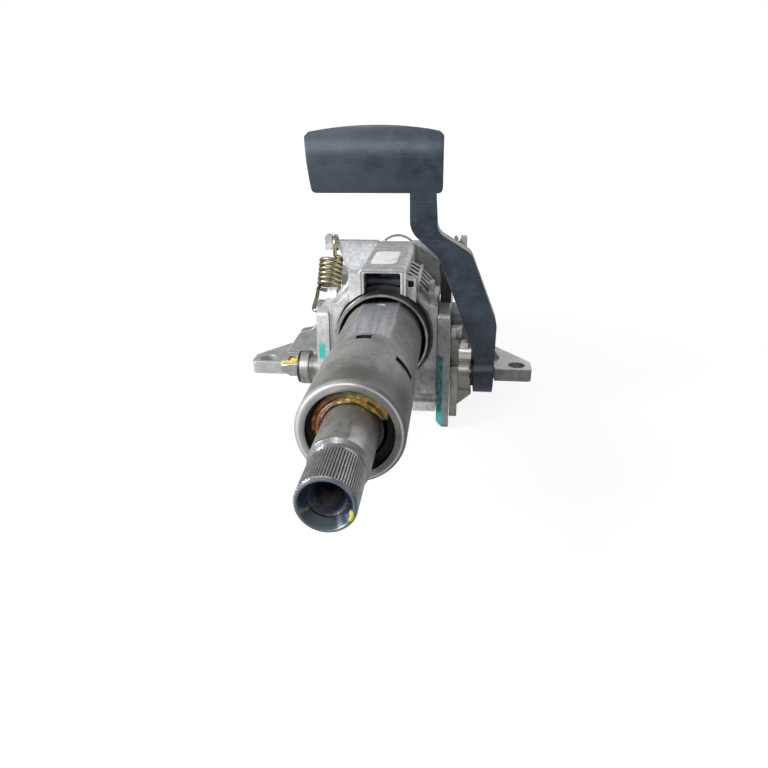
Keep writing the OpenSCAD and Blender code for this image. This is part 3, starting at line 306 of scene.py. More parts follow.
    def crevice_shade(self, reach):
        """Mask for painted shade: one deep in corners and slits, nought on open faces; reach is in
        millimetres.
        """
        node = self.node("ShaderNodeAmbientOcclusion", samples=6, only_local=True)
        node.inputs["Distance"].default_value = reach * MM
        return self.step(node.outputs["AO"], 0.85, 0.25)

    def bump(self, height, depth, normal=None):
        """Normal tilted by the slopes of a height pattern whose full depth is in millimetres."""
        node = self.node("ShaderNodeBump")
        node.inputs["Strength"].default_value = 1.0
        node.inputs["Distance"].default_value = depth * MM
        self.feed(node.inputs["Height"], height)
        if normal is not None:
            self.feed(node.inputs["Normal"], normal)
        return node.outputs[0]

    def close(self, colour=None, roughness=None, normal=None, metallic=None):
        """Joins the finished patterns to the shader and gives the material."""
        fed = {"Base Color": colour, "Roughness": roughness, "Normal": normal, "Metallic": metallic}
        for socket, value in fed.items():
            if value is not None:
                self.feed(self.shader.inputs[socket], value)
        return self.material


RAW_DARK, RAW_LIGHT = (0.50, 0.51, 0.525), (0.76, 0.772, 0.785)
WORN_ALUMINIUM = (0.92, 0.925, 0.93)
CASTING_METAL = 0.6


def casting(name, paint=None, stain_and_painted_shade=None):
    """Sand-cast aluminium: pale sparkling grains, darker blotches, painted shade in corners, bright edges
    that are worn and also a painted highlight.

    Paint gives a mask and a colour, and the last argument a mask of painted shade.
    """
    f = Finish(name, Metallic=CASTING_METAL, Specular_IOR_Level=0.6)
    edge_normal = f.rounded(0.7)
    edges = f.edges(edge_normal)
    blotch = f.noise(14.0, 4.0, 0.6)
    grain = f.noise(0.55, 2.0, 0.6)
    sparkle = f.step(f.cells(0.8), 0.32, 0.12)
    mottle = f.step(f.noise(2.4, 4.0, 0.7), 0.52, 0.38)
    colour = f.mix(f.step(blotch, 0.30, 0.64), RAW_DARK, RAW_LIGHT)
    colour = f.over(colour, f.step(grain, 0.42, 0.62), 0.5, (0.80, 0.81, 0.82))
    colour = f.over(colour, sparkle, 0.35, WORN_ALUMINIUM)
    colour = f.over(colour, mottle, 0.45, (0.36, 0.37, 0.385))
    # Painted shade: dark grey laid over the mask given by the last argument
    if stain_and_painted_shade is not None:
        colour = f.mix(stain_and_painted_shade(f), colour, (0.20, 0.203, 0.205))
    # Painted shade: near-black laid deep in corners and slits
    colour = f.over(colour, f.crevice_shade(7.0), 0.85, (0.09, 0.095, 0.105))
    # Edges lighter: worn bright, and also a painted highlight
    colour = f.over(colour, edges, 0.8, WORN_ALUMINIUM)
    rough = f.blend(f.step(grain, 0.3, 0.7), 0.58, 0.40)
    rough = f.blend(edges, rough, 0.28)
    normal = f.bump(grain, 0.10, edge_normal)
    normal = f.bump(f.noise(2.6, 3.0), 0.18, normal)
    if paint is None:
        return f.close(colour, rough, normal)
    mask, paint_colour = paint(f)
    colour = f.mix(mask, colour, paint_colour)
    rough = f.blend(mask, rough, 0.16)
    return f.close(colour, rough, normal, f.blend(mask, CASTING_METAL, 0.0))


CHEEK_FRONT = 182.0
RIGHT_PAINT_X, RIGHT_PAINT_HEIGHT = (31.5, 36.0), (-60.0, -11.0)
LEFT_PAINT_X, LEFT_PAINT_HEIGHT = (-39.0, -35.2), (-15.6, -5.6)
DARK_TEAL, PALE_TEAL = (0.006, 0.080, 0.072), (0.05, 0.44, 0.39)


def bracket_paint(f):
    """Turquoise assembly paint on the front edges of both cheeks: pale on the left one as painted light,
    dark on the right one as painted shade, and pale at its foot and in patches as painted highlights."""
    ragged = f.swing(f.noise(3.0, 3.0), 5.0)
    up = f.math("ADD", f.height, ragged)
    side = f.math("ADD", f.x, f.scaled(ragged, 0.25))
    front = f.step(f.station, CHEEK_FRONT, CHEEK_FRONT - 0.6)
    right = f.all_of(f.band(side, *RIGHT_PAINT_X, 0.25), f.band(up, *RIGHT_PAINT_HEIGHT, 0.8), front)
    left = f.all_of(f.band(side, *LEFT_PAINT_X, 0.5), f.band(up, *LEFT_PAINT_HEIGHT, 1.4), front)
    # Painted highlights: pale patches standing for the gloss of the paint
    wet = f.step(f.noise(1.6, 2.0), 0.40, 0.62)
    foot = f.any_of(f.step(up, -45.0, -52.0), f.scaled(wet, 0.35))
    # Painted light in the pale teal of the left cheek, painted shade in the dark teal of the right one
    on_left = f.step(f.x, 1.0, 0.0)
    return f.any_of(right, left), f.mix(f.any_of(foot, on_left), DARK_TEAL, PALE_TEAL)


def bracket_painted_shade(f):
    """Painted shade in clouds over the front of the lever side and the foot of the left ear, thinner on the
    left ear's tip, on top of the right ear and towards the rear."""
    share = f.blend(f.step(f.noise(5.0, 5.0, 0.7), 0.35, 0.65), 0.68, 0.90)
    left_foot = f.all_of(f.step(f.x, -38.5, -41.5), f.step(f.height, -33.0, -27.0),
                         f.step(f.station, CHEEK_FRONT + 3.0, CHEEK_FRONT + 5.0))
    left_tip = f.scaled(f.step(f.x, -50.0, -56.0), 0.55)
    ear_top = f.all_of(f.step(f.x, 58.0, 64.0), f.step(f.height, -32.3, -31.8))
    rear = f.all_of(f.step(f.station, 212.0, 232.0), f.step(f.height, -31.0, -27.0))
    right = f.all_of(f.step(f.x, 27.0, 32.0), f.blend(ear_top, 1.0, 0.35), f.blend(rear, 1.0, 0.25))
    return f.math("MULTIPLY", f.any_of(right, left_foot, left_tip), share)


RIM_LINE_X, RIM_LINE_HEIGHT = (11.7, 12.6), (38.9, 39.6)


def jacket_painted_shade(f):
    """Painted shade in clouds on the roof of the rail box, on its right flank and right of the mouth, and a
    line of painted shade round the middle of the box's rim."""
    share = f.blend(f.step(f.noise(6.0, 4.0, 0.6), 0.35, 0.65), 0.35, 0.85)
    roof = f.scaled(f.step(f.height, 38.0, 40.0), 0.6)
    flank = f.all_of(f.step(f.x, 15.0, 19.0), f.step(f.height, 0.0, 8.0), f.step(f.station, 183.0, 187.0))
    mouth = f.all_of(f.step(f.x, 12.0, 22.0), f.step(f.station, 186.0, 183.5),
                     f.step(f.height, -44.0, -36.0))
    across = f.math("ABSOLUTE", f.x)
    side_line = f.all_of(f.band(across, *RIM_LINE_X, 0.25), f.step(f.height, 39.6, 39.2))
    top_line = f.all_of(f.band(f.height, *RIM_LINE_HEIGHT, 0.2), f.step(across, 12.9, 12.5))
    line = f.all_of(f.any_of(side_line, top_line), f.step(f.station, 179.8, 179.3))
    cloudy = f.math("MULTIPLY", f.any_of(roof, f.scaled(flank, 0.55), mouth), share)
    return f.any_of(cloudy, f.scaled(line, 0.75))


LIP_FRONT, LIP_BACK = 54.0, 57.0
LIP_MIDDLE, LIP_HALF, LIP_ROLL = 21.7, 2.4, 1.0
LIP_LINE = (22.0, 22.9)
BARREL_BACK, BARREL_RADIUS = 107.0, 24.0
TUBE_SKIN, TUBE_WALL = 23.4, 23.3
THROAT_RADIUS, THROAT_BACK = 19.9, 62.0
FLAT_FRONT, FLAT_HEIGHT, FLAT_SHADE_SPAN = 116.0, 20.5, (135.0, 172.0)
DARK_REFLECTION_SPAN, WIPED_SPAN, UNWORN_SPAN = (60.0, 76.0), (84.0, 108.0), (62.0, 165.0)
SLOT_TURN, SLOT_SPAN = np.radians([40.5, 71.5]).tolist(), (93.6, 100.0)
DIMPLE, DIMPLE_RADIUS = (-0.5, 174.3, 20.6), 3.2


def tube_steel():
    """Drawn steel tube: warm pitted grey, fine lines round it, lines along its flat, a paler wiped band, a
    rolled satin lip with painted light on its left and one painted bright line, a painted glint in the
    dimple, a painted dark reflection behind the lip, and painted shade on the flat near the mouth, on the
    right, round the curved slot and on the slot walls."""
    f = Finish("tube_steel", Specular_IOR_Level=0.5)
    radius = f.radius()
    lines = f.noise(1.0, 2.0, 0.6, f.stretched(0.06, 2.6, 0.0, f.round_column(TUBE_SKIN)))
    drawn = f.noise(1.0, 3.0, 0.6, f.stretched(0.30, 0.022, 0.0))
    cloud = f.noise(13.0, 4.0, 0.62)
    flat = f.all_of(f.step(f.height, FLAT_HEIGHT - 0.2, FLAT_HEIGHT + 0.2),
                    f.step(f.station, FLAT_FRONT, FLAT_FRONT + 1.5))
    streak = f.blend(flat, lines, drawn)

    # Round of the tube, then its flat, with painted shade darkening it towards the mouth of the jacket
    colour = f.mix(f.step(cloud, 0.3, 0.7), (0.195, 0.194, 0.183), (0.345, 0.343, 0.328))
    colour = f.over(colour, f.step(streak, 0.42, 0.64), 0.35, (0.46, 0.46, 0.448))
    on_flat = f.mix(f.step(drawn, 0.40, 0.62), (0.33, 0.34, 0.36), (0.47, 0.48, 0.50))
    on_flat = f.over(on_flat, f.step(f.station, *FLAT_SHADE_SPAN), 0.6, (0.20, 0.21, 0.235))
    colour = f.mix(flat, colour, on_flat)

    # Painted dark reflection behind the lip, a paler wiped band, painted shade on the right, pits, spots,
    # painted light on the lip and painted shade round the slot
    # Painted dark reflection in clouds over the top of the barrel behind the lip
    dark_reflection = f.band(f.math("ADD", f.station, f.scaled(cloud, 8.0)), *DARK_REFLECTION_SPAN, 6.0)
    on_top = f.all_of(f.step(f.x, -16.0, 2.0), f.step(f.height, 2.0, 12.0))
    colour = f.mix(f.all_of(dark_reflection, on_top, f.blend(cloud, 0.5, 0.9)), colour, (0.09, 0.089, 0.083))
    wiped = f.band(f.math("ADD", f.station, f.scaled(cloud, 6.0)), *WIPED_SPAN, 6.0)
    wiped = f.all_of(wiped, f.step(f.height, 4.0, 18.0))
    colour = f.over(colour, wiped, 0.45, (0.44, 0.445, 0.44))
    # Painted shade on the right side of the barrel
    right_shade = f.all_of(f.step(f.x, 4.0, 18.0), f.step(f.station, 106.0, 70.0))
    colour = f.over(colour, right_shade, 0.5, (0.10, 0.099, 0.093))
    pits = f.step(f.noise(0.8, 3.0, 0.7), 0.50, 0.38)
    colour = f.over(colour, pits, 0.30, (0.12, 0.12, 0.11))
    spots = f.step(f.noise(4.0, 5.0, 0.7), 0.50, 0.34)
    colour = f.over(colour, spots, 0.40, (0.13, 0.13, 0.117))
    # Painted light on the left half of the lip's front face
    painted_lip_light = f.all_of(f.step(f.station, LIP_BACK - 0.6, LIP_BACK - 1.4), f.step(f.x, 8.0, -8.0))
    colour = f.over(colour, painted_lip_light, 0.5, (0.60, 0.60, 0.59))
    turn = f.math("ARCTAN2", f.x, f.height)
    # Painted shade round the curved slot, making it look wider
    slot_shade = f.all_of(f.band(turn, *SLOT_TURN, 0.02), f.band(f.station, *SLOT_SPAN, 0.5))
    colour = f.over(colour, slot_shade, 0.9, (0.03, 0.03, 0.032))

    # Painted highlights: edges, also rubbed bright, the rim line on the lip and the glint in the dimple
    edge_normal = f.rounded(0.5)
    rim = f.all_of(f.band(radius, *LIP_LINE, 0.25), f.step(f.station, LIP_BACK + 0.2, LIP_BACK - 0.4))
    pressed = f.node("ShaderNodeVectorMath", operation="DISTANCE")
    f.feed(pressed.inputs[0], f.place)
    pressed.inputs[1].default_value = DIMPLE
    dimple = f.step(pressed.outputs["Value"], DIMPLE_RADIUS, DIMPLE_RADIUS - 0.8)
    edge_share = f.blend(f.band(f.station, *UNWORN_SPAN, 1.0), 0.45, 0.08)
    worn = f.math("MULTIPLY", f.edges(edge_normal), edge_share)
    bright = f.any_of(worn, f.scaled(rim, 0.7), dimple)
    colour = f.mix(bright, colour, (0.74, 0.74, 0.73))

    # Painted shade inside the slots and the bearing mouth
    wall = f.blend(f.step(f.station, BARREL_BACK - 0.2, BARREL_BACK + 0.2), BARREL_RADIUS, TUBE_WALL)
    depth = f.math("SUBTRACT", wall, radius)
    slots = f.all_of(f.step(depth, 0.0, 0.2), f.step(f.station, THROAT_BACK - 1.0, THROAT_BACK),
                     f.step(f.station, FLAT_FRONT + 0.5, FLAT_FRONT - 0.5))
    throat = f.all_of(f.step(radius, THROAT_RADIUS, THROAT_RADIUS - 0.4),
                      f.step(f.station, LIP_FRONT + 0.2, LIP_FRONT + 0.8),
                      f.step(f.station, THROAT_BACK, THROAT_BACK - 1.0))
    hollow_shade = f.any_of(slots, throat)
    colour = f.mix(hollow_shade, colour, (0.010, 0.010, 0.012))

    rough = f.blend(f.step(streak, 0.3, 0.7), 0.56, 0.44)
    rough = f.blend(bright, rough, 0.24)
    normal = f.bump(streak, 0.015, edge_normal)
    normal = f.bump(cloud, 0.22, normal)
    out = f.math("DIVIDE", f.math("SUBTRACT", radius, LIP_MIDDLE), LIP_HALF)
    roll = f.math("SUBTRACT", 1.0, f.math("MULTIPLY", out, out), clamp=True)
    roll = f.all_of(roll, f.step(f.station, LIP_BACK + 0.6, LIP_BACK - 0.1),
                    f.blend(f.step(f.x, 2.0, 12.0), 1.0, 0.2))
    normal = f.bump(roll, LIP_ROLL, normal)
    metallic = f.blend(flat, 0.55, 0.3)
    return f.close(colour, rough, normal, f.blend(hollow_shade, metallic, 0.0))


SHAFT_RADIUS, SINK_RADIUS, BORE_RADIUS = 12.0, 10.0, 7.2
SPLINE_SPAN, NECK_SPAN, TIPS_SPAN = (1.2, 22.4), (22.6, 27.6), (0.5, 1.7)
GROOVE_TOP, GROOVE_FLOOR = 11.45, 11.05
DAB_X, DAB_HEIGHT = (8.2, 10.2), (-5.4, -2.0)


def shaft_steel():
    """Ground shaft: satin collar with fine turning lines, a glossier neck, grey-brown spline grooves,
    painted glints on the left of the tips, a blue-grey countersink with a dab of yellow paint and a bluish
    bore."""
    f = Finish("shaft_steel")
    lines = f.noise(1.0, 2.0, 0.6, f.stretched(0.05, 4.0, 0.0, f.round_column(SHAFT_RADIUS)))
    stain_and_painted_shade = f.noise(5.0, 4.0, 0.65)
    radius = f.radius()
    on_spline = f.band(f.station, *SPLINE_SPAN, 0.2)
    groove = f.all_of(on_spline, f.step(radius, GROOVE_TOP, GROOVE_FLOOR))
    neck = f.band(f.station, *NECK_SPAN, 0.3)
    # Painted glints on the front edges of the teeth, left side only
    tip_glints = f.all_of(f.band(f.station, *TIPS_SPAN, 0.3), f.step(radius, 10.8, 11.1), f.step(f.x, 4.0, -2.0))
    end_face = f.all_of(f.step(f.station, 1.3, 0.9), f.step(radius, 11.3, 10.9))
    sink = f.all_of(f.step(radius, SINK_RADIUS, SINK_RADIUS - 0.4),
                    f.step(radius, BORE_RADIUS - 0.2, BORE_RADIUS))
    bore = f.step(radius, BORE_RADIUS + 0.7, BORE_RADIUS)
    ragged = f.swing(f.noise(1.2, 3.0), 3.0)
    dab = f.all_of(f.band(f.math("ADD", f.x, ragged), *DAB_X, 0.25),
                   f.band(f.math("ADD", f.height, ragged), *DAB_HEIGHT, 0.3), f.step(f.station, 2.2, 1.6))
    colour = f.mix(f.step(stain_and_painted_shade, 0.35, 0.7), (0.40, 0.40, 0.39), (0.25, 0.246, 0.234))
    colour = f.over(colour, f.step(lines, 0.45, 0.65), 0.35, (0.62, 0.62, 0.61))
    colour = f.over(colour, on_spline, 0.25, (0.20, 0.198, 0.19))
    colour = f.mix(groove, colour, (0.11, 0.106, 0.098))
    colour = f.over(colour, neck, 0.6, (0.36, 0.385, 0.41))
    colour = f.over(colour, tip_glints, 0.6, (0.88, 0.88, 0.88))
    colour = f.over(colour, f.any_of(sink, end_face), 0.85, (0.15, 0.19, 0.235))
    colour = f.over(colour, bore, 0.9, (0.15, 0.18, 0.24))
    colour = f.mix(dab, colour, (0.46, 0.41, 0.05))
    rough = f.blend(f.step(lines, 0.3, 0.7), 0.47, 0.35)
    rough = f.blend(groove, rough, 0.5)
    rough = f.blend(f.scaled(neck, 0.8), rough, 0.20)
    rough = f.blend(f.any_of(sink, tip_glints), rough, 0.16)
    normal = f.bump(lines, 0.01, f.rounded(0.25))
    return f.close(colour, rough, normal, f.blend(dab, f.blend(sink, 0.8, 0.95), 0.0))


RUBBED_STEEL = (0.85, 0.85, 0.84)


def plain_steel(name, dark, light, rough_low, rough_high, size=7.0, edge=RUBBED_STEEL, edge_share=0.7,
                metal=1.0, zone=None):
    """Plated or oiled steel: two greys in clouds, fine scratches, edges rubbed bright. A zone gives two
    heights and the colour that takes over from the first to the second."""
    f = Finish(name, Metallic=metal)
    edge_normal = f.rounded(0.35)
    cloud = f.noise(size, 4.0, 0.6)
    scratch = f.noise(1.0, 2.0, 0.7, f.stretched(0.5, 3.5, 3.5))
    colour = f.mix(f.step(cloud, 0.32, 0.68), dark, light)
    if zone is not None:
        start, stop, zone_colour = zone
        colour = f.over(colour, f.step(f.height, start, stop), 0.9, zone_colour)
    colour = f.over(colour, f.step(scratch, 0.55, 0.7), 0.3, edge)
    colour = f.over(colour, f.edges(edge_normal), edge_share, edge)
    rough = f.blend(f.step(cloud, 0.3, 0.7), rough_high, rough_low)
    normal = f.bump(scratch, 0.012, edge_normal)
    return f.close(colour, rough, f.bump(cloud, 0.10, normal))


NUT_PAINT_X = (-55.0, -56.5)
YELLOW_EDGE, RED_EDGE = (-24.2, -23.7), (-22.6, -22.1)


def nut_steel():
    """Bright nut and bolt end with a splash of yellow paint over the top, dark red at its highest."""
    f = Finish("nut_steel", Metallic=1.0)
    edge_normal = f.rounded(0.5)
    cloud = f.noise(4.0, 3.0)
    colour = f.mix(f.step(cloud, 0.3, 0.7), (0.46, 0.46, 0.47), (0.74, 0.74, 0.75))
    colour = f.over(colour, f.edges(edge_normal), 0.85, (0.90, 0.90, 0.89))
    ragged = f.math("ADD", f.height, f.swing(f.noise(1.6, 3.0), 7.0))
    slope = f.math("ADD", ragged, f.scaled(f.math("ADD", f.x, 60.0), -0.30))
    paint = f.all_of(f.step(slope, *YELLOW_EDGE), f.step(f.x, *NUT_PAINT_X))
    red = f.step(slope, *RED_EDGE)
    colour = f.mix(paint, colour, f.mix(red, (0.74, 0.60, 0.05), (0.16, 0.025, 0.012)))
    rough = f.blend(paint, f.blend(f.step(cloud, 0.3, 0.7), 0.36, 0.24), 0.32)
    return f.close(colour, rough, f.bump(cloud, 0.06, edge_normal), f.blend(paint, 1.0, 0.0))


def black_part(name, dark, light, rough, grain_size, grain_depth, edge_radius=0.5, coat=0.0):
    """Dark plastic, rubber or coating: slight colour clouds, moulded grain, edges a little lighter."""
    f = Finish(name, Coat_Weight=coat, Coat_Roughness=0.12)
    edge_normal = f.rounded(edge_radius)
    cloud = f.noise(9.0, 4.0, 0.6)
    grain = f.noise(grain_size, 2.0, 0.6)
    colour = f.mix(f.step(cloud, 0.3, 0.7), dark, light)
    lighter = tuple(min(1.0, 2.2 * c + 0.02) for c in light)
    colour = f.over(colour, f.edges(edge_normal), 0.55, lighter)
    roughness = f.blend(f.step(grain, 0.3, 0.7), rough + 0.06, rough - 0.06)
    return f.close(colour, roughness, f.bump(grain, grain_depth, edge_normal))


GRIP_MIDDLE, GRIP_HALF, GRIP_CROWN = 97.0, 19.0, 4.0
GRIP_FOOT = 76.0


def lever_coating():
    """Blue-black coating: a slightly crowned grip with painted light on its left end and a painted
    reflection at its foot, fine scuffs along it, dust, moulded grain and edges lighter from rubbing and a
    painted highlight."""
    f = Finish("lever_coating", Specular_IOR_Level=0.6, Specular_Tint=(0.75, 0.88, 1.0, 1.0),
               Coat_Weight=0.4, Coat_Roughness=0.32)
    edge_normal = f.rounded(1.2)
    cloud = f.noise(9.0, 4.0, 0.6)
    scuff = f.noise(1.0, 3.0, 0.65, f.stretched(0.07, 0.25, 0.35))
    grain = f.noise(0.35, 2.0, 0.6)
    dust = f.step(f.noise(0.9, 2.0, 0.5), 0.66, 0.74)
    grip_foot_reflection = f.all_of(f.step(f.height, 95.0, 82.0), f.step(f.height, GRIP_FOOT, GRIP_FOOT + 3.0))
    colour = f.mix(f.step(cloud, 0.3, 0.7), (0.009, 0.013, 0.022), (0.028, 0.038, 0.058))
    colour = f.over(colour, f.step(scuff, 0.54, 0.78), 0.26, (0.11, 0.122, 0.145))
    # Painted light: the grip paler towards its left end
    colour = f.over(colour, f.step(f.x, 25.0, -45.0), 0.35, (0.075, 0.092, 0.125))
    colour = f.over(colour, dust, 0.25, (0.22, 0.225, 0.235))
    # Painted reflection: the foot of the grip paler
    colour = f.over(colour, grip_foot_reflection, 0.5, (0.065, 0.077, 0.10))
    # Edges lighter: rubbed, and also a painted highlight
    colour = f.over(colour, f.edges(edge_normal), 0.45, (0.14, 0.158, 0.185))
    rough = f.blend(f.step(grain, 0.3, 0.7), 0.42, 0.32)
    up = f.math("DIVIDE", f.math("SUBTRACT", f.height, GRIP_MIDDLE), GRIP_HALF)
    crown = f.math("SUBTRACT", 1.0, f.math("MULTIPLY", up, up), clamp=True)
    normal = f.bump(crown, GRIP_CROWN, edge_normal)
    return f.close(colour, rough, f.bump(grain, 0.02, normal))


SLEEVE_RING, SLEEVE_FRONT = (26.0, 27.0), 174.9


def sleeve_finish():
    """Guide sleeve: bare steel in a thin ring on its front edge, pale steel on the nut side as painted
    light, else black coating.
    """
    f = Finish("sleeve_steel")
    cloud = f.noise(5.0, 3.0)
    edge_normal = f.rounded(0.4)
    ring = f.all_of(f.band(f.radius(), *SLEEVE_RING, 0.15),
                    f.step(f.station, SLEEVE_FRONT, SLEEVE_FRONT - 0.6))
    # Painted light: pale steel on the left, nut side, where the key light falls
    painted_light_side = f.step(f.math("ADD", f.x, f.scaled(cloud, 6.0)), -6.0, -12.0)
    bare_ring_and_painted_light = f.any_of(ring, painted_light_side)
    bare = f.mix(f.step(cloud, 0.3, 0.7), (0.42, 0.42, 0.42), (0.66, 0.66, 0.66))
    black = f.mix(f.step(cloud, 0.3, 0.7), (0.012, 0.013, 0.015), (0.035, 0.036, 0.040))
    rough = f.blend(bare_ring_and_painted_light, 0.42, 0.30)
    return f.close(f.mix(bare_ring_and_painted_light, black, bare), rough, f.bump(cloud, 0.08, edge_normal), bare_ring_and_painted_light)


def spring_wire():
    """Yellow zinc on spring wire: olive brass above, greyer and duller below, fine drawing lines."""
    f = Finish("spring_wire", Metallic=1.0)
    cloud = f.noise(3.5, 4.0, 0.65)
    worn = f.step(f.math("ADD", f.height, f.scaled(cloud, 14.0)), 30.0, 14.0)
    colour = f.mix(f.step(cloud, 0.3, 0.7), (0.27, 0.235, 0.125), (0.50, 0.45, 0.285))
    colour = f.over(colour, worn, 0.75, (0.30, 0.29, 0.26))
    rough = f.blend(f.step(cloud, 0.3, 0.7), 0.42, 0.26)
    return f.close(colour, rough, f.bump(f.noise(0.5, 2.0), 0.03))


def grease_finish():
    """Bearing grease: golden amber over the top, copper towards the left, dark streaks, wet gloss."""
    f = Finish("grease", Specular_IOR_Level=0.8, Coat_Weight=1.0, Coat_Roughness=0.05)
    cloud = f.noise(2.2, 4.0, 0.6)
    around = f.round_column(16.0)
    streak = f.noise(1.0, 3.0, 0.6, f.stretched(0.28, 0.6, 1.4, around))
    lean = f.math("ADD", f.x, f.swing(cloud, 9.0))
    colour = f.mix(f.step(lean, -10.0, -3.0), (0.25, 0.075, 0.014), (0.23, 0.145, 0.020))
    colour = f.over(colour, f.step(cloud, 0.50, 0.72), 0.8, (0.46, 0.30, 0.06))
    colour = f.over(colour, f.step(streak, 0.55, 0.68), 0.9, (0.020, 0.012, 0.006))
    rough = f.blend(f.step(cloud, 0.3, 0.7), 0.20, 0.07)
    return f.close(colour, rough, f.bump(f.noise(1.3, 3.0), 0.6))


NUT = nut_steel()
STEEL = plain_steel("oiled_steel", (0.30, 0.30, 0.295), (0.46, 0.455, 0.445), 0.26, 0.42)
BRIGHT = plain_steel("ground_steel", (0.55, 0.55, 0.55), (0.74, 0.74, 0.73), 0.14, 0.26)
DARK_WASHER = plain_steel("black_washer_steel", (0.045, 0.045, 0.05), (0.09, 0.09, 0.095), 0.30, 0.42)
# Painted highlight: the top of the lock plate turns near white
LOCK_PLATE = plain_steel("lock_plate_steel", (0.34, 0.33, 0.285), (0.485, 0.475, 0.425), 0.34, 0.48,
                         size=8.0, metal=0.75, zone=(-8.0, -4.0, (0.90, 0.89, 0.86)))
# Painted light and shade: a very pale cam whose lower part turns dark
CAM = plain_steel("cam_steel", (0.70, 0.69, 0.66), (0.94, 0.93, 0.91), 0.26, 0.38,
                  size=11.0, metal=0.8, zone=(-15.0, -20.0, (0.25, 0.24, 0.205)))
ZINC_WASHER = plain_steel("zinc_washer_steel", (0.33, 0.325, 0.31), (0.52, 0.51, 0.49), 0.38, 0.52,
                          size=5.0, edge_share=0.6)
BALL = plain_steel("ball_steel", (0.70, 0.70, 0.70), (0.80, 0.80, 0.80), 0.06, 0.12, edge_share=0.0)
LEVER = lever_coating()
STOP_BAR = black_part("stop_bar_coating", (0.020, 0.025, 0.034), (0.045, 0.052, 0.064), 0.36, 0.50, 0.03)
RUBBER = black_part("black_rubber", (0.010, 0.010, 0.011), (0.024, 0.024, 0.026), 0.52, 0.30, 0.03)
PLASTIC = black_part("black_plastic", (0.012, 0.012, 0.014), (0.030, 0.031, 0.034), 0.42, 0.40, 0.02)
SEAL = black_part("seal_rubber", (0.006, 0.006, 0.007), (0.016, 0.016, 0.018), 0.24, 0.30, 0.01, coat=0.3)

FINISH_OF_NODE = {
    "mounting_bracket": casting("bracket_casting", bracket_paint, bracket_painted_shade),
    "lower_jacket": casting("jacket_casting", stain_and_painted_shade=jacket_painted_shade),
    "upper_tube": tube_steel(), "upper_shaft": shaft_steel(), "lower_shaft": STEEL,
    "lever_bumper": RUBBER, "pivot_bolts": STEEL, "pivot_bushes": PLASTIC, "mouth_seal": RUBBER,
    "guide_sleeve": sleeve_finish(), "front_bush": PLASTIC, "rear_bush": PLASTIC,
    "telescope_stop": STOP_BAR, "rail_end_clip": BRIGHT,
    "clamp_bolt": NUT, "slot_spacer": ZINC_WASHER, "thick_washer": ZINC_WASHER,
    "nut_washer": DARK_WASHER, "clamp_nut": NUT, "lock_plate": LOCK_PLATE, "fixed_cam": CAM,
    "lever_cam": PLASTIC, "clamp_lever": LEVER, "telescope_guide": PLASTIC, "wedge_ring": SEAL,
    "lower_outer_ring": BRIGHT, "lower_inner_ring": BRIGHT, "lower_balls": BALL, "lower_snap_ring": STEEL,
    "upper_outer_ring": BRIGHT, "upper_inner_ring": BRIGHT, "upper_balls": BALL, "upper_snap_ring": STEEL,
    "shaft_snap_ring": STEEL, "grease_seal": SEAL, "tilt_spring_left": STEEL, "tilt_spring_right": STEEL,
}
for node_name, node_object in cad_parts.items():
    for node_slot in node_object.material_slots:
        node_slot.material = FINISH_OF_NODE[node_name]


# Tilt springs

WIRE_RADIUS = 1.35
COIL_RADIUS = 7.2
COIL_TURNS = 6.67
COIL_START = np.radians(120.0)
COIL_TOP = np.array([45.4, 264.25, 28.1])
COIL_FOOT = np.array([46.0, 252.5, 9.4])
HOOK = np.array([41.6, 263.25, 38.5])
HOOK_LOOP_RADIUS = 5.19
HOOK_LOOP_TURN = np.radians(np.linspace(-60.0, 180.0, 11))
LEG = np.array([[49.6, 228.0, 9.0], [49.4, 218.0, 6.0], [48.6, 215.0, 5.0], [46.2, 214.0, 5.0],
                [43.2, 214.0, 5.0]])
KNOTS_PER_TURN = 16
STEPS_PER_KNOT = 4


def tilt_spring(name, mirror):
    """Wire carried along a loop round the hook, a helix between the coil's two ends and a straight leg.

    The loop is part of a circle, the helix adds a turning radius to a straight line, and one smooth
    curve passes through all of their points. The other spring has its X with the sign changed.
    """
    turn = HOOK_LOOP_TURN
    loop = HOOK + HOOK_LOOP_RADIUS * np.stack([0 * turn, np.cos(turn), np.sin(turn)], axis=-1)
    coil_line = COIL_FOOT - COIL_TOP
    along = unit(coil_line)
    first = unit(np.cross([0.0, along[2], -along[1]], along))
    second = np.cross(along, first)
    t = np.linspace(0.0, 1.0, round(COIL_TURNS * KNOTS_PER_TURN) + 1)[:, None]
    coil_turn = FULL_TURN * COIL_TURNS * t + COIL_START
    coil = COIL_TOP + coil_line * t + COIL_RADIUS * (np.cos(coil_turn) * first + np.sin(coil_turn) * second)
    knots = np.vstack([loop, coil, LEG])
    sides = np.vstack([np.tile([1.0, 0.0, 0.0], (len(loop), 1)), np.tile(along, (len(coil), 1)),
                       np.tile([0.0, 0.0, 1.0], (len(LEG), 1))])
    path = smooth_path(knots, STEPS_PER_KNOT)
    knot_number = np.arange(len(knots))
    path_number = np.linspace(0, len(knots) - 1, len(path))
    side = np.stack([np.interp(path_number, knot_number, sides[:, i]) for i in range(3)], axis=-1)
    flip = np.array([mirror, 1.0, 1.0])
    path, side = path * flip, side * flip
    piece = swept_wire(name, spot(path[:, 0], path[:, 1], path[:, 2]), WIRE_RADIUS * MM, side)
    piece.data.materials.append(SPRING_WIRE)
    ends = [tuple(float(v) for v in spot(*(point * flip))) for point in (LEG[-1], HOOK)]
    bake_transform(piece)
    return piece


SPRING_WIRE = spring_wire()
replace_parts(tilt_spring("spring_right", 1.0), "tilt_spring_right")
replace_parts(tilt_spring("spring_left", -1.0), "tilt_spring_left")


# Bearing mouth

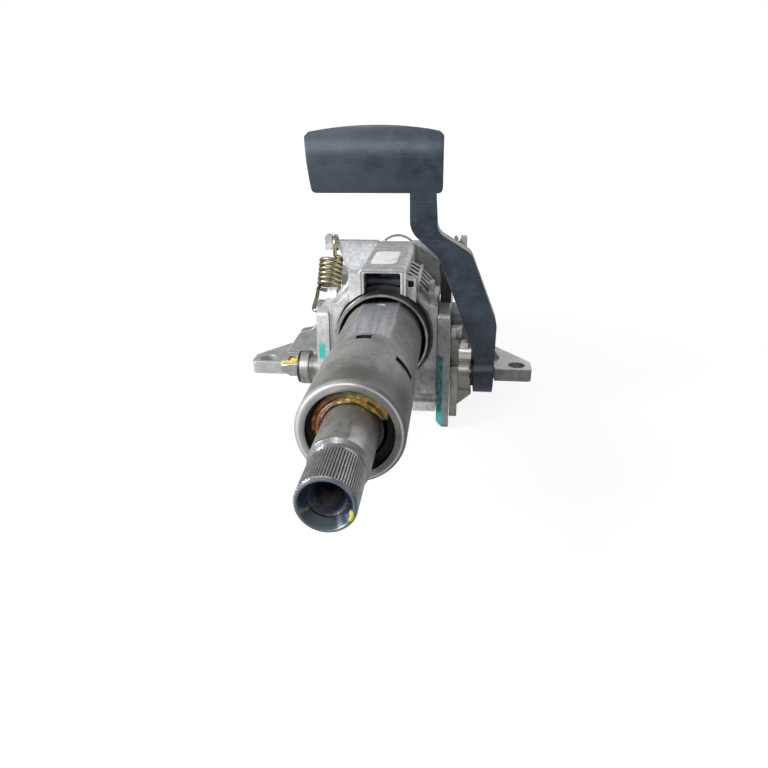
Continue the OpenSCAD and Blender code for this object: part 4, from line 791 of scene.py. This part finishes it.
SEAL_INNER, SEAL_OUTER = 15.4, 21.0
SEAL_FRONT, SEAL_BACK = 58.95, 61.95
SEAL_RIDGES, RIDGE_DEPTH, SEAL_STEPS = 4, 0.9, 49
GREASE_TURN = np.radians(np.linspace(-108.0, 72.0, 241))
GREASE_RADIUS, GREASE_STATION = 16.0, 58.6
GREASE_HALF_WIDTH, GREASE_BULGE, GREASE_BACK = 3.05, 1.15, 0.9
GREASE_THIN_END, GREASE_END_TURN, GREASE_SIDES = 0.02, 0.45, 44
WIDTH_WAVE, BULGE_WAVE, RADIUS_WAVE = 0.20, 0.55, 0.20
LEFT_TURN, LEFT_SOFT, LEFT_NARROWER, LEFT_INWARD = -0.45, 0.35, 0.85, 0.7
WEDGE_RING_EDGE, WEDGE_RING_SOFT = 15.3, 0.35
HALF_FORWARD, FORWARD_THINNING = 0.85, 0.33


def ridged_seal():
    """Ring whose front face is a row of round ridges: the station of the face falls by the size of a
    sine of the radius, and the section closes over its straight back."""
    share = np.linspace(0.0, 1.0, SEAL_STEPS)
    radii = SEAL_INNER + (SEAL_OUTER - SEAL_INNER) * share
    front = SEAL_FRONT + RIDGE_DEPTH * (1.0 - np.abs(np.sin(np.pi * SEAL_RIDGES * share)))
    section_r = np.concatenate([radii, [SEAL_OUTER, SEAL_INNER]])
    section_s = np.concatenate([front, [SEAL_BACK, SEAL_BACK]])
    piece = turned_piece("ridged_seal", section_r, section_s)
    piece.data.materials.append(SEAL)
    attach(piece, "tube")
    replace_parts(piece, "grease_seal")


def grease_bead():
    """Bead of grease in the bearing mouth: a closed oval section carried over the top of the ring.

    The oval's width and its bulge towards the front vary with sums of sines of the turn, and both
    shrink almost to nothing at the two ends. A hyperbolic tangent of the turn makes it slimmer on the
    left, and one of the radius carries its inner part forward, in front of the wedge ring.
    """
    turn = GREASE_TURN[:, None]
    round_section = np.linspace(0.0, FULL_TURN, GREASE_SIDES, endpoint=False)[None, :]
    from_end = np.minimum(turn - turn[0], turn[-1] - turn)
    taper = np.sqrt(np.clip(from_end / GREASE_END_TURN, 0.0, 1.0))
    wave = 0.5 * np.sin(5 * turn + 0.6) + 0.3 * np.sin(11 * turn + 2.0) + 0.2 * np.sin(23 * turn + 0.9)
    ripple = np.sin(3 * round_section + 9 * turn) * 0.12 + np.sin(2 * round_section - 17 * turn) * 0.08
    left_side = 0.5 - 0.5 * np.tanh((turn - LEFT_TURN) / LEFT_SOFT)
    half_width = GREASE_HALF_WIDTH - LEFT_NARROWER * left_side + WIDTH_WAVE * wave
    half_width = half_width * taper + GREASE_THIN_END
    bulge = (GREASE_BULGE + BULGE_WAVE * wave + ripple) * taper + GREASE_THIN_END
    middle = GREASE_RADIUS - LEFT_INWARD * left_side + RADIUS_WAVE * np.sin(7 * turn)
    radius = middle + half_width * np.cos(round_section)
    rise = np.sin(round_section)
    forward = HALF_FORWARD * (1.0 - np.tanh((radius - WEDGE_RING_EDGE) / WEDGE_RING_SOFT))
    back = (GREASE_BACK - FORWARD_THINNING * forward) * taper
    station = GREASE_STATION - forward - np.where(rise > 0.0, bulge, back) * rise
    piece = grid_piece("bearing_grease", spot(radius * np.sin(turn), station, radius * np.cos(turn)),
                       wrap_columns=True, cap_rows=True)
    piece.data.materials.append(grease_finish())
    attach(piece, "tube")


ridged_seal()
grease_bead()


# Wheel bolt thread

THREAD_ROOT, THREAD_CREST, THREAD_PITCH = BORE_RADIUS, 6.75, 1.5
THREAD_START, THREAD_LENGTH = 4.5, 26.0
THREAD_SKIN = 0.15
THREAD_SIDES, STEPS_PER_PITCH = 48, 10
BORE_STEEL = plain_steel("bore_steel", (0.035, 0.055, 0.10), (0.20, 0.19, 0.20), 0.16, 0.30, size=5.0,
                         edge=(0.30, 0.26, 0.22), metal=0.4)


def wheel_bolt_thread():
    """Screw thread as a closed sleeve: its outer wall is plain and its inner one follows a rounded wave
    that climbs one pitch in each turn and fades at both ends, where a narrow face joins the walls."""
    turn = np.linspace(0.0, FULL_TURN, THREAD_SIDES, endpoint=False)[:, None]
    steps = int(THREAD_LENGTH / THREAD_PITCH * STEPS_PER_PITCH) + 1
    along = np.linspace(0.0, THREAD_LENGTH, steps)[None, :]
    wave = 0.5 + 0.5 * np.cos(FULL_TURN * (along / THREAD_PITCH) - turn)
    fade = np.clip(np.minimum(along, THREAD_LENGTH - along) / (0.6 * THREAD_PITCH), 0.0, 1.0)
    threaded = THREAD_ROOT - (THREAD_ROOT - THREAD_CREST) * wave * fade
    plain = np.full_like(threaded, THREAD_ROOT + THREAD_SKIN)
    radius = np.hstack([threaded, plain[:, ::-1]])
    station = THREAD_START + np.hstack([along, along[:, ::-1]])
    piece = grid_piece("wheel_bolt_thread", spot(radius * np.cos(turn), station, radius * np.sin(turn)),
                       wrap_rows=True, wrap_columns=True, sharp_degrees=60.0)
    piece.data.materials.append(BORE_STEEL)
    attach(piece, "upper_shaft")


wheel_bolt_thread()


# Bare plate on the rail box

PLATE_MIDDLE_X, PLATE_MIDDLE_STATION = -1.0, 212.0
PLATE_HALF_X, PLATE_HALF_STATION = 7.8, 17.5
PLATE_CORNER_POWER, PLATE_SIDES = 0.22, 96
PLATE_TOP, PLATE_BEVEL, PLATE_FOOT = 40.62, 40.55, 40.32
PLATE_RINGS = np.array([0.02, 0.5, 0.97, 1.0, 1.0, 0.5, 0.02])
PLATE_LEVELS = np.array([PLATE_TOP] * 3 + [PLATE_BEVEL] + [PLATE_FOOT] * 3)


def blank_paper():
    """Plain pale paper: fine fibres, a few faint grey smudges, slightly yellowed edges."""
    f = Finish("blank_paper", Specular_IOR_Level=0.4)
    smudge = f.noise(6.0, 4.0, 0.6)
    fibre = f.noise(0.4, 2.0, 0.6)
    colour = f.mix(f.step(smudge, 0.45, 0.72), (0.80, 0.80, 0.79), (0.58, 0.58, 0.575))
    colour = f.over(colour, f.step(fibre, 0.5, 0.7), 0.2, (0.88, 0.88, 0.87))
    return f.close(colour, f.blend(smudge, 0.40, 0.55), f.bump(fibre, 0.02))


def bare_plate():
    """Thin blank plate: rings of a rounded rectangle shrink to its middle, one set on top and one below,
    and the outline is a circle with both of its parts raised to a small power."""
    turn = np.linspace(0.0, FULL_TURN, PLATE_SIDES, endpoint=False)[None, :]
    across = np.sign(np.cos(turn)) * np.abs(np.cos(turn)) ** PLATE_CORNER_POWER
    along = np.sign(np.sin(turn)) * np.abs(np.sin(turn)) ** PLATE_CORNER_POWER
    ring = PLATE_RINGS[:, None]
    points = spot(PLATE_MIDDLE_X + PLATE_HALF_X * ring * across,
                  PLATE_MIDDLE_STATION + PLATE_HALF_STATION * ring * along, PLATE_LEVELS[:, None])
    piece = grid_piece("bare_plate", points, wrap_columns=True, cap_rows=True)
    piece.data.materials.append(blank_paper())
    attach(piece, "jacket")


bare_plate()


# Floor, light and camera

FLOOR_REACH, FLOOR_GAP = 6000.0, 0.5
FLOOR_GLOW_NEAR, FLOOR_GLOW_FAR, FLOOR_GLOW_LIGHTING = 0.88, 1.02, 0.30
FLOOR_GLOW_SPAN = (250.0, 1300.0)
ROOM_LOW, ROOM_HIGH, ROOM_SEEN = 0.10, 0.38, 1.05
ROOM_RISE = (-0.1, 0.9)
SOFT_BOXES = (
    ("left_key", (-1.15, -0.72, 0.60), (0.0, -0.03, 0.03), 0.45, 30.0),
    ("front_box", (-0.25, -1.2, 1.0), (0.0, 0.0, 0.1), 0.45, 5.4),
    ("ceiling_box", (-0.2, 0.25, 1.2), (0.0, 0.0, 0.05), 0.9, 1.2),
    ("back_box", (0.55, 1.15, 0.58), (0.0, -0.05, 0.05), 0.9, 3.6),
    ("right_fill", (1.15, 0.20, 0.50), (0.0, 0.0, 0.05), 0.8, 2.0),
)
CAMERA_PLACE = (0.0420, -0.4061, 0.1659)
CAMERA_PITCH, CAMERA_YAW, CAMERA_ROLL = np.radians([23.1, 6.5, -0.6])
SENSOR_WIDTH, FOCAL_PIXELS, PICTURE_PIXELS = 36.0, 650.0, 768.0


def floor():
    """Flat square grid under the lowest point of the column; its white grows with the distance."""
    reach = np.linspace(-FLOOR_REACH, FLOOR_REACH, 3)
    level = cad_box[0][2] / MM - AXIS_Z - FLOOR_GAP
    points = spot(reach[:, None], reach[None, :], level)
    piece = grid_piece("floor", points)
    f = Finish("floor_white", Roughness=0.9, Specular_IOR_Level=0.0)
    tone = f.mix(f.noise(400.0), (0.14, 0.14, 0.14), (0.16, 0.16, 0.16))
    away = f.node("ShaderNodeVectorMath", operation="LENGTH")
    f.feed(away.inputs[0], f.place)
    glow = f.blend(f.step(away.outputs["Value"], *FLOOR_GLOW_SPAN), FLOOR_GLOW_NEAR, FLOOR_GLOW_FAR)
    seen = f.node("ShaderNodeLightPath").outputs["Is Camera Ray"]
    f.feed(f.shader.inputs["Emission Strength"], f.blend(seen, FLOOR_GLOW_LIGHTING, glow))
    f.shader.inputs["Emission Color"].default_value = (1.0, 1.0, 1.0, 1.0)
    piece.data.materials.append(f.close(tone))


floor()


def studio_world():
    """White to the camera; for lighting a grey room that brightens towards the ceiling."""
    world = bpy.data.worlds.new("studio")
    bpy.context.scene.world = world
    world.use_nodes = True
    tree = world.node_tree
    nodes, links = tree.nodes, tree.links
    background = nodes["Background"]
    background.inputs["Color"].default_value = (1.0, 1.0, 1.0, 1.0)
    path = nodes.new("ShaderNodeLightPath")
    coordinates = nodes.new("ShaderNodeTexCoord")
    split = nodes.new("ShaderNodeSeparateXYZ")
    links.new(coordinates.outputs["Generated"], split.inputs[0])
    ramp = nodes.new("ShaderNodeMapRange")
    links.new(split.outputs[2], ramp.inputs[0])
    ramp.inputs[1].default_value, ramp.inputs[2].default_value = ROOM_RISE
    ramp.inputs[3].default_value, ramp.inputs[4].default_value = ROOM_LOW, ROOM_HIGH
    choose = nodes.new("ShaderNodeMix")
    links.new(path.outputs["Is Camera Ray"], choose.inputs[0])
    links.new(ramp.outputs[0], choose.inputs[2])
    choose.inputs[3].default_value = ROOM_SEEN
    links.new(choose.outputs[0], background.inputs["Strength"])


def soft_light(name, place, aim, size, power):
    """Square soft box at a place in metres, turned to face its aim."""
    data = bpy.data.lights.new(name, "AREA")
    data.shape, data.size, data.energy = "SQUARE", size, power
    light = bpy.data.objects.new(name, data)
    bpy.context.scene.collection.objects.link(light)
    away = unit(np.array(place) - np.array(aim))
    across = unit(np.cross([0.0, 1.0, 0.001], away))
    over = np.cross(away, across)
    turn = Matrix(np.column_stack([across, over, away]).tolist()).to_4x4()
    light.matrix_world = Matrix.Translation(place) @ turn


def photo_camera():
    """Camera fitted to the photograph: its view is turned by yaw and pitch, its frame then by roll."""
    level_view = np.array([-np.sin(CAMERA_YAW), np.cos(CAMERA_YAW), 0.0])
    forward = np.cos(CAMERA_PITCH) * level_view - [0.0, 0.0, np.sin(CAMERA_PITCH)]
    right = np.array([np.cos(CAMERA_YAW), np.sin(CAMERA_YAW), 0.0])
    up = np.cross(right, forward)
    across = np.cos(CAMERA_ROLL) * right + np.sin(CAMERA_ROLL) * up
    over = -np.sin(CAMERA_ROLL) * right + np.cos(CAMERA_ROLL) * up
    data = bpy.data.cameras.new("photo_camera")
    data.sensor_width = SENSOR_WIDTH
    data.lens = SENSOR_WIDTH * FOCAL_PIXELS / PICTURE_PIXELS
    data.clip_start, data.clip_end = 0.01, 50.0
    camera = bpy.data.objects.new("photo_camera", data)
    bpy.context.scene.collection.objects.link(camera)
    turn = Matrix(np.column_stack([across, over, -forward]).tolist()).to_4x4()
    camera.matrix_world = Matrix.Translation(CAMERA_PLACE) @ turn
    bpy.context.scene.camera = camera


studio_world()
for soft_box in SOFT_BOXES:
    soft_light(*soft_box)
photo_camera()
bpy.context.scene.view_settings.view_transform = "Standard"
